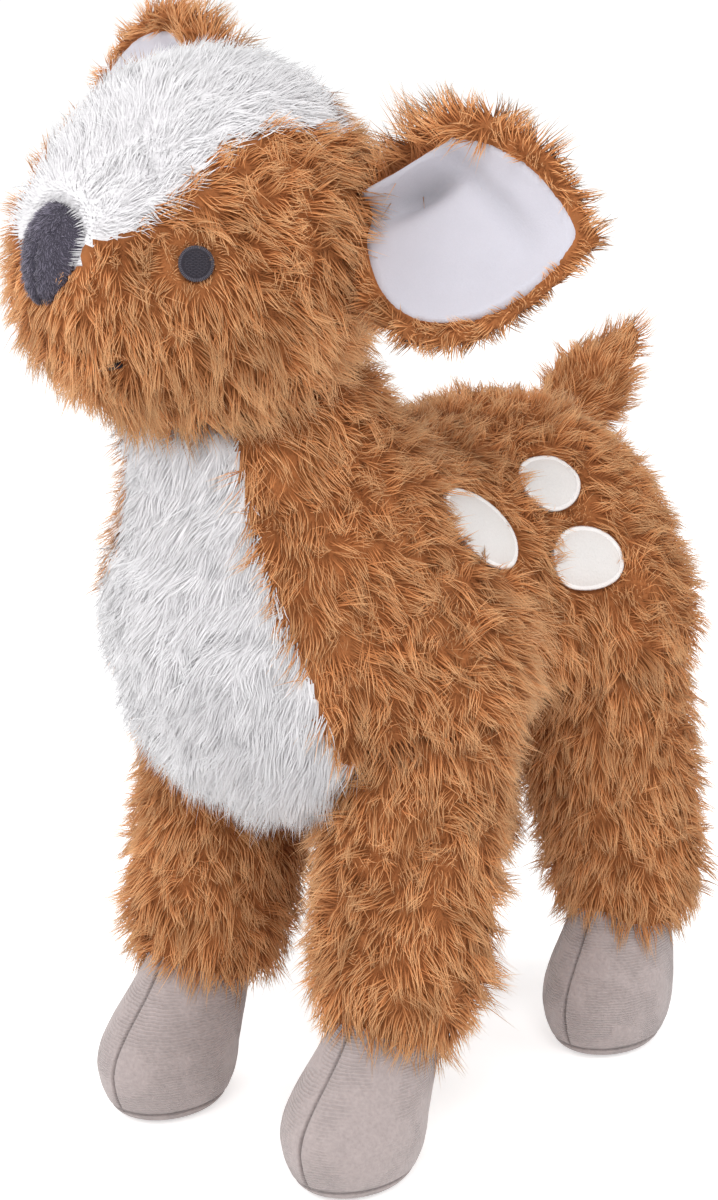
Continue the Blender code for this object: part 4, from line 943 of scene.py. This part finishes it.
HIP_CLOSE, HOOF_CLOSE = 0.007, 0.004
LEG_COMB, LEG_LENGTH, LEG_UNDER_PILE = 0.5, 0.0068, 0.0018
LEG_SPACING, LEG_WIDTH, LEG_SEED = 0.00071, 0.00035, 40
leg_guide = barrier("leg_guide", [cad_mesh("hooves", [leg + "_hoof" for leg in LEGS])])
for number, (leg, skin) in enumerate(leg_skins.items()):
    at, facing = places(skin)
    hidden = blocked(at, facing, BODY_COVERS, HIP_CLOSE) | blocked(at, facing, [leg + "_hoof"], HOOF_CLOSE)
    comb = LEG_COMB * along_skin((0, 0, -1.0), facing)
    raise_skin(skin, np.where(hidden, 0.0, LEG_UNDER_PILE))
    grow_pile(leg + "_pile", skin, faces_where(skin, ~hidden), comb, np.full(len(at), LEG_LENGTH), leg,
              "brown_plush", [leg + "_cover"], brown_pile, leg_guide, Seed=LEG_SEED + number,
              Spacing=LEG_SPACING, Width=LEG_WIDTH)
    ground = dress(leg + "_ground", skin, brown_ground, leg, [leg + "_stuffing"])


# The tail: one leaf of plush, stuffed lightly and sewn into the rump seam.
# Its pile is combed to the tip, where it ends in a soft point.

TAIL_VOXEL, TAIL_SMOOTHING = 0.001, 6
TAIL_COMB, TAIL_LENGTH, RUMP_CLOSE = 0.8, 0.0066, 0.004
tail_skin = stuffed_skin("tail_ground", ("tail",), TAIL_VOXEL, TAIL_SMOOTHING)
at, facing = places(tail_skin)
low, high = extent("tail")
root = np.array(((low[0] + high[0]) / 2, low[1], low[2]))
comb = TAIL_COMB * unit(along_skin(at - root, facing))
hidden = blocked(at, facing, BODY_COVERS, RUMP_CLOSE)
grow_pile("tail_pile", tail_skin, faces_where(tail_skin, ~hidden), comb, np.full(len(at), TAIL_LENGTH),
          "tail", "brown_plush", ["tail"], brown_pile, leg_guide, Sag=0.0)
tail_ground = dress("tail_ground", tail_skin, brown_ground, "tail")


# The ears: a plush back that rolls over the edge as a furry rim, and a smooth velour lining.
# The lining is tacked at the root with one pleat, so its upper edge lips over a soft hollow.
# Painted shade darkens the lining's hollow and its crease.

LINING_EDGE = (
    (0.0017, 0.0032), (0.0036, 0.0088), (0.0187, 0.0166), (0.0288, 0.0196), (0.0430, 0.0143),
    (0.0550, 0.0050), (0.0562, -0.0020), (0.0530, -0.0090), (0.0450, -0.0160), (0.0320, -0.0205),
    (0.0220, -0.0205), (0.0118, -0.0153), (0.0030, -0.0045),
)
LIP_ENDS = (0.0020, 0.0070), (0.0250, 0.0185)
CREASE_ENDS = (0.0240, 0.0160), (0.0480, -0.0040)
LIP_RISE, LIP_WIDTH = 0.0020, 0.0013
HOLLOW_DEPTH, HOLLOW_FROM_LIP, HOLLOW_WIDTH = 0.0055, 0.0048, 0.0034
HOLLOW_ALONG, HOLLOW_SPAN = 0.45, 0.5
CREASE_DEPTH, CREASE_WIDTH, CREASE_END, CREASE_SHADE = 0.0015, 0.0030, (0.5, 1.1), 0.4
FOLD_SHADE = 0.9
EAR_VOXEL, EAR_SMOOTHING = 0.0008, 6
EDGE_STEPS, RING_STEPS, EDGE_MARGIN = 120, 30, 0.03
EDGE_TRIES, EDGE_PULL, PULL_SPREAD, EDGE_EASING = 30, 0.985, 5, 7
ABOVE_EAR, THROUGH_EAR = 0.03, 0.06
LINING_LIFT, LINING_THICKNESS = 0.0006, 0.0012
LINING_TUCK, TUCK_FROM = 0.0009, 0.93
UNDER_RIM, SEEN_FROM_FRONT, RIM_RISE, RIM_WIDTH = -0.0004, 0.2, 0.0015, 0.0025
EAR_SHORT, UPPER_LONGER, ROOT_LONGER, TIP_SHORTER = 0.0040, 0.0022, 0.0038, 0.2
RIM_COMB, BACK_COMB, BACK_COMB_REACH = 0.2, 0.4, (0.0005, 0.0045)
ROOT_HEIGHTS, ROOT_SPAN = (0.004, 0.016), (0.014, 0.034)
UPPER_HEIGHTS, TIP_SPAN = (-0.012, 0.010), (0.040, 0.052)
EAR_PILE = {"Sag": 0.05, "Stray": 0.0, "Spacing": 0.00059, "Softness": 0.7, "Lock Pull": 0.5}
EAR_SEED, EAR_TONE = 60, 0.15

white_velour = cloth_finish("white_velour", (0.55, 0.54, 0.60), grain=2600.0, depth=0.07, bump=0.2,
                            sheen=0.25)


def from_line(points, ends):
    """How far flat points lie from a straight line, and how far along it, as a share."""
    start, stop = (np.array(end) for end in ends)
    run = stop - start
    along = (points - start) @ run / (run @ run)
    foot = start + np.clip(along, 0, 1)[:, None] * run
    return np.linalg.norm(points - foot, axis=1), along


def lining_relief(flat):
    """How far the lining stands off a plain cup at flat places in the ear, and the painted shade of its hollow
    and crease, as a share.
    """
    off_lip, along_lip = from_line(flat, LIP_ENDS)
    off_crease, along_crease = from_line(flat, CREASE_ENDS)
    lip = LIP_RISE * hump(off_lip, 0, LIP_WIDTH)
    hollow = HOLLOW_DEPTH * hump(off_lip, HOLLOW_FROM_LIP, HOLLOW_WIDTH)
    hollow = hollow * hump(along_lip, HOLLOW_ALONG, HOLLOW_SPAN)
    crease = CREASE_DEPTH * hump(off_crease, 0, CREASE_WIDTH) * fade(along_crease, *CREASE_END)
    return lip - hollow - crease, np.maximum(hollow / HOLLOW_DEPTH, CREASE_SHADE * crease / CREASE_DEPTH)


def rings_to_centre(name, rims):
    """A closed fan of rings, from an outer ring in to a middle point."""
    bm = bmesh.new()
    rings = [[bm.verts.new(Vector(point)) for point in rim] for rim in rims[:-1]]
    middle = bm.verts.new(Vector(rims[-1][0]))
    count = len(rings[0])
    for outer, inner in zip(rings[:-1], rings[1:]):
        for i in range(count):
            j = (i + 1) % count
            bm.faces.new((outer[i], outer[j], inner[j], inner[i]))
    for i in range(count):
        bm.faces.new((rings[-1][i], rings[-1][(i + 1) % count], middle))
    mesh = closed(bm, bpy.data.meshes.new(name))
    mesh.shade_smooth()
    return mesh


def thicken(mesh, name, thickness, front):
    """Gives an open sheet a wall behind it, with its faces outward and its front facing the given way."""
    bm = opened([mesh])
    bm.normal_update()
    if sum((face.normal * face.calc_area() for face in bm.faces), Vector()).dot(Vector(front)) < 0:
        bmesh.ops.reverse_faces(bm, faces=bm.faces)
    sheet = link(name + "_sheet", closed(bm, mesh))
    wall = sheet.modifiers.new("wall", "SOLIDIFY")
    wall.thickness = thickness
    wall.offset = -1.0
    made = as_mesh(sheet, name)
    made.shade_smooth()
    return made


def off_plane(flat, height, origin, axes):
    """Places in space, from flat places and one height over their plane."""
    return origin + np.column_stack((flat, np.full(len(flat), height))) @ axes.T


for number, side in enumerate(("left", "right")):
    back, lining, velour = "ear_back_" + side, "ear_lining_" + side, "ear_velour_" + side
    ear_skin = stuffed_skin("ear_ground_" + side, (back, lining), EAR_VOXEL, EAR_SMOOTHING)
    at, facing = places(ear_skin)
    hinge = joints["ear_" + side + "_flap"]
    ear_root, upward = np.array(hinge["pos_m"]), unit(np.array(hinge["axis"]))
    outward = unit(along_skin(corners_of(lining).mean(axis=0) - ear_root, upward))
    forward = np.cross(outward, upward) * (1 - 2 * number)
    axes = np.stack((outward, upward, forward), axis=1)
    own = (at - ear_root) @ axes
    relief = np.minimum(lining_relief(own[:, :2])[0], 0)
    at, facing = move(ear_skin, at + forward * relief[:, None])

    search = search_in([ear_skin])
    edge = closed_curve(LINING_EDGE, EDGE_STEPS)
    middle = edge.mean(axis=0)
    for _ in range(EDGE_TRIES):
        start = off_plane(edge + (edge - middle) * EDGE_MARGIN, ABOVE_EAR, ear_root, axes)
        missed = np.array([search.ray_cast(Vector(point), Vector(-forward), THROUGH_EAR)[0] is None
                           for point in start])
        if not missed.any():
            break
        pulled = eased(missed, PULL_SPREAD) > 0
        edge[pulled] = middle + (edge[pulled] - middle) * EDGE_PULL
    edge = middle + unit(edge - middle) * eased(np.linalg.norm(edge - middle, axis=1), EDGE_EASING)[:, None]
    rims, fold_painted_shades = [], []
    for share in np.linspace(1, 0, RING_STEPS):
        flat = middle + (edge - middle) * share
        # The hollow and the crease get painted shade, darker where they are deeper.
        proud, fold_painted_shade = lining_relief(flat)
        fold_painted_shades.append(FOLD_SHADE * fold_painted_shade)
        lie = np.array([search.ray_cast(Vector(point), Vector(-forward), THROUGH_EAR)[0]
                        or search.find_nearest(Vector(point - forward * ABOVE_EAR))[0]
                        for point in off_plane(flat, ABOVE_EAR, ear_root, axes)])
        rise = LINING_LIFT + np.maximum(proud, 0) - LINING_TUCK * smooth_step(share, TUCK_FROM, 1.0)
        rims.append(lie + forward * rise[:, None])
    sheet = rings_to_centre(velour, rims)
    # The painted shade of the hollow and the crease is stored for the velour's colour.
    hold(sheet, seam=np.append(np.concatenate(fold_painted_shades[:-1]), fold_painted_shades[-1][0]))
    padded = thicken(sheet, velour, LINING_THICKNESS, forward)
    dress(velour, padded, white_velour, "ear_" + side, [lining])

    own = (at - ear_root) @ axes
    off_middle = own[:, :2] - middle
    beyond = beyond_rim(off_middle, edge - middle)
    lined = (beyond < UNDER_RIM) & (facing @ forward > SEEN_FROM_FRONT)
    hidden = lined | blocked(at, facing, HEAD_COVERS, EAR_CLOSE)
    at, facing = raise_skin(ear_skin, RIM_RISE * smooth_step(beyond, 0.0, RIM_WIDTH) * ~hidden)
    comb = unit(along_skin(off_middle[:, :1] * outward + off_middle[:, 1:] * upward, facing))
    comb = comb * (RIM_COMB + BACK_COMB * smooth_step(beyond, *BACK_COMB_REACH))[:, None]
    over_root = smooth_step(own[:, 1], *ROOT_HEIGHTS) * fade(own[:, 0], *ROOT_SPAN)
    length = EAR_SHORT + UPPER_LONGER * smooth_step(own[:, 1], *UPPER_HEIGHTS) + ROOT_LONGER * over_root
    length = length * (1 - TIP_SHORTER * smooth_step(own[:, 0], *TIP_SPAN))
    grow_pile(back + "_pile", ear_skin, faces_where(ear_skin, ~hidden), comb, length, "ear_" + side,
              "brown_plush", [back], brown_pile, leg_guide, EAR_TONE, Seed=EAR_SEED + number, **EAR_PILE)
    dress("ear_ground_" + side, ear_skin, brown_ground, "ear_" + side)


# The nose: a shield of dark grey velour in two halves, lightly stuffed and sewn to the muzzle's end.
# The halves meet in one seam down to the point, and the short pile is stroked away from it.
# In the seam the pile and the ground are darker: partly the seam's own dark line and partly painted shade in its
# groove.

NOSE_PILE = {"Spacing": 0.00036, "Width": 0.00028, "Stand": 0.6, "Swirl": 0.5, "Mess": 0.25,
             "Lock Mess": 0.2, "Curl": 0.1, "Sag": 0.0, "Lock Spacing": 0.0009, "Lock Pull": 0.3,
             "Softness": 0.5, "Stray": 0.0}
NOSE_COMB, NOSE_FALL, NOSE_SPREAD = 0.8, (0, 0, -0.7), 120
NOSE_LENGTH, SEAM_SHORTER, SEAM_PAINTED_SHADE_TONE, SEAM_BARE = 0.0012, 0.0005, -0.6, 0.6
at, facing = places(nose_skin)
comb = NOSE_COMB * unit(along_skin(face_left * (nose_across * NOSE_SPREAD)[:, None] + NOSE_FALL, facing))
grey_ground = cloth_finish("grey_under_pile", (0.075, 0.068, 0.092), grain=1500.0, depth=0.5, bump=0.4,
                           sheen=0.1)
grey_pile = pile_finish("grey_pile", root=(0.050, 0.045, 0.062), middle=(0.125, 0.112, 0.150),
                        tip=(0.300, 0.275, 0.345), spread=0.9, sheen=0.15)
# The seam's darkening of the ground and the pile is partly painted shade in its groove.
hold(nose_skin, seam=nose_seam)
grow_pile("nose_pile", nose_skin, faces_where(nose_skin, nose_seam < SEAM_BARE), comb,
          NOSE_LENGTH - SEAM_SHORTER * nose_seam, "head", "grey_velour", ["nose"], grey_pile, leg_guide,
          SEAM_PAINTED_SHADE_TONE * nose_seam, **NOSE_PILE)
dress("nose_ground", nose_skin, grey_ground, "head")


# The eyes: machine embroidery straight through the cover, a satin-stitched ring round level rows.
# Each stitch is a rounded bar of thread that lies on the cloth.

THREAD, BAR_SIDES = 0.00034, 6
stitches, given, gives = new_group(
    "stitches", {"Geometry": "Geometry", "Thread": "Float", "Finish": "Material"}, {"Geometry": "Geometry"},
    "GeometryNodeTree",
)
bar = outcome(stitches, "GeometryNodeMeshUVSphere", Segments=BAR_SIDES, Rings=BAR_SIDES, Radius=0.5)
laid = outcome(
    stitches, "FunctionNodeAlignRotationToVector", Vector=named("way", "FLOAT_VECTOR", stitches), axis="X",
)
laid = outcome(
    stitches, "FunctionNodeAlignRotationToVector", Rotation=laid,
    Vector=named("out", "FLOAT_VECTOR", stitches), axis="Z", pivot_axis="X",
)
size = outcome(
    stitches, "ShaderNodeCombineXYZ", X=named("reach", "FLOAT", stitches), Y=given["Thread"],
    Z=given["Thread"],
)
points = outcome(stitches, "GeometryNodeMeshToPoints", Mesh=given["Geometry"])
bars = outcome(
    stitches, "GeometryNodeInstanceOnPoints", Points=points, Instance=bar, Rotation=laid, Scale=size,
)
bars = outcome(stitches, "GeometryNodeRealizeInstances", Geometry=bars)
bars = outcome(stitches, "GeometryNodeSetShadeSmooth", Geometry=bars, Shade_Smooth=True)
bars = outcome(stitches, "GeometryNodeSetMaterial", Geometry=bars, Material=given["Finish"])
stitches.links.new(bars, gives["Geometry"])


def sew(name, at, way, out, reach, thread, finish, body, nodes):
    """Lays one stitch at each place, along its way and facing out."""
    seeds = bpy.data.meshes.new(name + "_places")
    seeds.from_pydata(at.tolist(), [], [])
    hold(seeds, way=way, out=out, reach=reach)
    dress(name, made_by(stitches, name, seeds, Thread=thread, Finish=finish), finish, body, nodes)


EYE_VOXEL, EYE_SMOOTHING, OUTERMOST = 0.0003, 6, 60
EYE_RING_STITCHES, EYE_RING_LONG, EYE_RING_INSET = 58, 0.0011, 0.42
EYE_ROW_STEP, EYE_STITCH_LONG, EYE_ROWS_INSET, SHORTEST_STITCH = 0.00036, 0.0013, 0.0001, 0.0003
ABOVE_EYE = 0.01
dark_thread = cloth_finish("dark_thread", (0.040, 0.035, 0.048), grain=3500.0, depth=0.6, bump=0.3,
                           roughness=0.55, sheen=0.15)
rim_thread = cloth_finish("rim_thread", (0.085, 0.078, 0.098), grain=3500.0, depth=0.6, bump=0.3,
                          roughness=0.55, sheen=0.2)
dark_rim = cloth_finish("dark_rim_thread", (0.024, 0.021, 0.030), grain=3500.0, depth=0.5, bump=0.3,
                        roughness=0.6, sheen=0.1)
for eye in EYES:
    dome = stuffed_skin(eye + "_embroidery", (eye,), EYE_VOXEL, EYE_SMOOTHING)
    dress(eye + "_embroidery", dome, dark_rim, "head", [eye])
    at, facing = places(dome)
    eye_middle = at.mean(axis=0)
    out = unit(facing[np.argsort(distance_to(at, HEAD_COVERS))[-OUTERMOST:]].mean(axis=0))
    plane = np.stack(level_and_rising(out))
    radius = np.percentile(np.linalg.norm((at - eye_middle) @ plane.T, axis=1), 99)
    search = search_in([dome])
    laid = []
    for turn in np.arange(EYE_RING_STITCHES) / EYE_RING_STITCHES * tau:
        way = np.array((np.cos(turn), np.sin(turn)))
        laid.append((way * (radius - EYE_RING_LONG * EYE_RING_INSET), way, EYE_RING_LONG))
    inner = radius - EYE_RING_LONG - EYE_ROWS_INSET
    rows = int(inner / EYE_ROW_STEP)
    for row in range(-rows, rows + 1):
        height = row * EYE_ROW_STEP
        half = (inner * inner - height * height) ** 0.5
        offset = 0.5 * EYE_STITCH_LONG * (row % 2)
        for step in range(-3, 4):
            low_x = max(step * EYE_STITCH_LONG + offset - EYE_STITCH_LONG / 2, -half)
            high_x = min(step * EYE_STITCH_LONG + offset + EYE_STITCH_LONG / 2, half)
            if high_x - low_x > SHORTEST_STITCH:
                laid.append((((low_x + high_x) / 2, height), (1.0, 0.0), high_x - low_x))
    flat, ways, reaches = (np.array(values) for values in zip(*laid))
    seats, faces_out = [], []
    for point in eye_middle + flat @ plane + out * ABOVE_EYE:
        hit, normal = search.ray_cast(Vector(point), Vector(-out), 2 * ABOVE_EYE)[:2]
        seats.append(np.array(hit) if hit else point - out * ABOVE_EYE)
        faces_out.append(np.array(normal) if hit else out)
    seats, faces_out, ways = np.array(seats), np.array(faces_out), ways @ plane
    for label, part, thread in (("_ring", slice(0, EYE_RING_STITCHES), rim_thread),
                                ("_rows", slice(EYE_RING_STITCHES, None), dark_thread)):
        sew(eye + label, seats[part], ways[part], faces_out[part], reaches[part], THREAD, thread, "head",
            [])

mouth = cad_mesh("mouth_row", ["mouth_stitch"])
mouth.shade_smooth()
dress("mouth_row", mouth, dark_rim, "head", ["mouth_stitch"])


# The hooves: beige velour round a firm filling, narrower at the ankle where the plush is sewn on.
# One seam runs down the front and another goes round above the sole.
# Both seams are darkened, partly with painted shade.

HOOF_SHARES = np.array((
    (0.000, 0.00), (0.000, 0.42), (0.006, 0.58), (0.040, 0.74), (0.100, 0.84), (0.220, 0.94), (0.350, 0.99),
    (0.500, 0.985), (0.650, 0.93), (0.800, 0.85), (0.950, 0.77), (1.100, 0.70),
))
HOOF_ROUND, HOOF_RINGS, HOOF_EASING = 96, 110, 9
HEM_HEIGHT, LEAN_HEIGHTS = 0.008, (0.35, 1.1)
FRONT_TURNS, FRONT_STEPS = 0.06, 13
SOLE_SEAM_SHARE, SEAM_FOOT_SHARE, LEAST_WIDTH = 0.10, 0.06, 0.3
SEAM_DEPTH, SEAM_WIDTH = 0.0008, 0.00042
hoof_velour = cloth_finish("hoof_velour", (0.410, 0.346, 0.337), grain=1100.0, depth=0.40, bump=0.7,
                           sheen=0.3, ribs=1.0)
path = np.concatenate(([0], np.cumsum(np.linalg.norm(np.diff(HOOF_SHARES, axis=0), axis=1))))
steps = np.linspace(0, path[-1], HOOF_RINGS)
kernel = np.hanning(HOOF_EASING) / np.hanning(HOOF_EASING).sum()
turns = np.concatenate((np.arange(HOOF_ROUND) / HOOF_ROUND * tau,
                        radians(270) + np.linspace(-FRONT_TURNS, FRONT_TURNS, FRONT_STEPS)))
turns = np.unique(np.round(turns, 4))
from_front = np.abs((turns + radians(90) + np.pi) % tau - np.pi)
for leg in LEGS:
    low, high = extent(leg + "_hoof")
    middle, half = (low + high) / 2, (high - low) / 2
    cover_at = corners_of(leg + "_cover")
    ankle = cover_at[cover_at[:, 2] < cover_at[:, 2].min() + HEM_HEIGHT].mean(axis=0)
    heights = np.interp(steps, path, HOOF_SHARES[:, 0]) * high[2]
    widths = np.interp(steps, path, HOOF_SHARES[:, 1])
    for values in (heights, widths):
        values[4:-4] = np.convolve(values, kernel, "same")[4:-4]
    rims, seams = [], []
    for height, width in zip(heights[::-1], widths[::-1]):
        share = height / high[2]
        centre = middle[:2] + (ankle[:2] - middle[:2]) * smooth_step(share, *LEAN_HEIGHTS)
        # Along the seams the velour is sunk in a groove and darkened: partly the seam's own dark line and partly
        # painted shade in the groove.
        seam = hump(from_front * half[0] * max(width, LEAST_WIDTH), 0, SEAM_WIDTH)
        seam = seam * smooth_step(share, SEAM_FOOT_SHARE, SOLE_SEAM_SHARE)
        seam = np.maximum(seam, hump((share - SOLE_SEAM_SHARE) * high[2], 0, SEAM_WIDTH))
        pull = SEAM_DEPTH * seam
        seams.append(seam)
        rims.append(np.column_stack((
            centre[0] + np.cos(turns) * (half[0] * width - pull),
            centre[1] + np.sin(turns) * (half[1] * width - pull), np.full(len(turns), height),
        )))
    hoof = rings_to_centre(leg + "_hoof_velour", rims)
    hold(hoof, seam=np.append(np.concatenate(seams[:-1]), 0.0))
    bm = opened([hoof])
    bmesh.ops.contextual_create(bm, geom=[edge for edge in bm.edges if edge.is_boundary])
    bmesh.ops.recalc_face_normals(bm, faces=bm.faces)
    closed(bm, hoof)
    piece = dress(leg + "_hoof_velour", hoof, hoof_velour, leg, [leg + "_hoof"])


# The spots: ovals of off-white velour, padded by one layer of wadding, three on each haunch.
# A satin stitch binds the raw edge of each one down into the pile.

SPOT_STITCH_STEP, SPOT_STITCH_LONG, SPOT_THREAD = 0.00034, 0.0016, 0.00044
SPOT_STITCH_SLANT, SPOT_STITCH_RISE = 0.2, 0.2
SPOT_PUFF, SPOT_RISE, SPOT_THICKNESS = 0.0007, 0.0006, 0.0014
SPOT_RINGS = np.append(np.linspace(1, 0.86, 5), np.linspace(0.8, 0, 9))
spot_velour = cloth_finish("spot_velour", (0.71, 0.685, 0.67), grain=1800.0, depth=0.10, bump=0.4,
                           sheen=0.25)
white_thread = cloth_finish("white_thread", (0.84, 0.82, 0.81), grain=2500.0, depth=0.10, bump=0.3,
                            roughness=0.6, sheen=0.2)
for spot in SPOTS:
    middle, axes, rim = spot_rim(spot)
    out = axes[2]
    top = ((corners_of(spot) - middle) @ out).max()
    pad_rims = [
        np.column_stack((rim[:, :2] * share, (rim[:, 2] + SPOT_RISE) * share ** 2 + top * (1 - share ** 2)
                         + SPOT_PUFF * (1 - share ** 4)))
        for share in SPOT_RINGS
    ]
    pad = rings_to_centre(spot + "_velour", [middle + ring @ axes for ring in pad_rims])
    dress(spot + "_velour", thicken(pad, spot + "_velour", SPOT_THICKNESS, out), spot_velour, "torso",
          [spot])

    rim = pad_rims[2]
    around = np.linalg.norm(np.diff(rim, axis=0, append=rim[:1]), axis=1)
    count = int(around.sum() / SPOT_STITCH_STEP)
    walk = np.interp(np.linspace(0, around.sum(), count, endpoint=False),
                     np.concatenate(([0], np.cumsum(around))), np.arange(SPOT_STEPS + 1))
    low_step = walk.astype(int) % SPOT_STEPS
    share = (walk - walk.astype(int))[:, None]
    seats = rim[low_step] * (1 - share) + rim[(low_step + 1) % SPOT_STEPS] * share
    ahead = rim[(low_step + 1) % SPOT_STEPS] - rim[low_step]
    across = unit(unit(np.cross(ahead, (0, 0, 1.0))) + SPOT_STITCH_SLANT * unit(ahead))
    tilt = unit(np.cross(ahead, across))
    tilt = tilt * np.sign(tilt[:, 2:])
    seats = middle + (seats + (0, 0, SPOT_THREAD * SPOT_STITCH_RISE)) @ axes
    sew(spot + "_stitching", seats, across @ axes, tilt @ axes, np.full(count, SPOT_STITCH_LONG), SPOT_THREAD,
        white_thread, "torso", [spot + "_edge"])


# The neck: a ball of loose fibre that the head turns on, inside the brown ground cloth.
# It is hidden at rest, and shows only as a dark fold at the nape when the head nods back.

NECK_VOXEL, NECK_SMOOTHING = 0.0012, 4
neck_fill = stuffed_skin("neck_fill", ("neck_stuffing_ball",), NECK_VOXEL, NECK_SMOOTHING)
dress("neck_fill", neck_fill, brown_ground, "neck", ["neck_stuffing_ball"])

for guide in (body_guide, head_guide, leg_guide):
    bpy.data.objects.remove(guide)
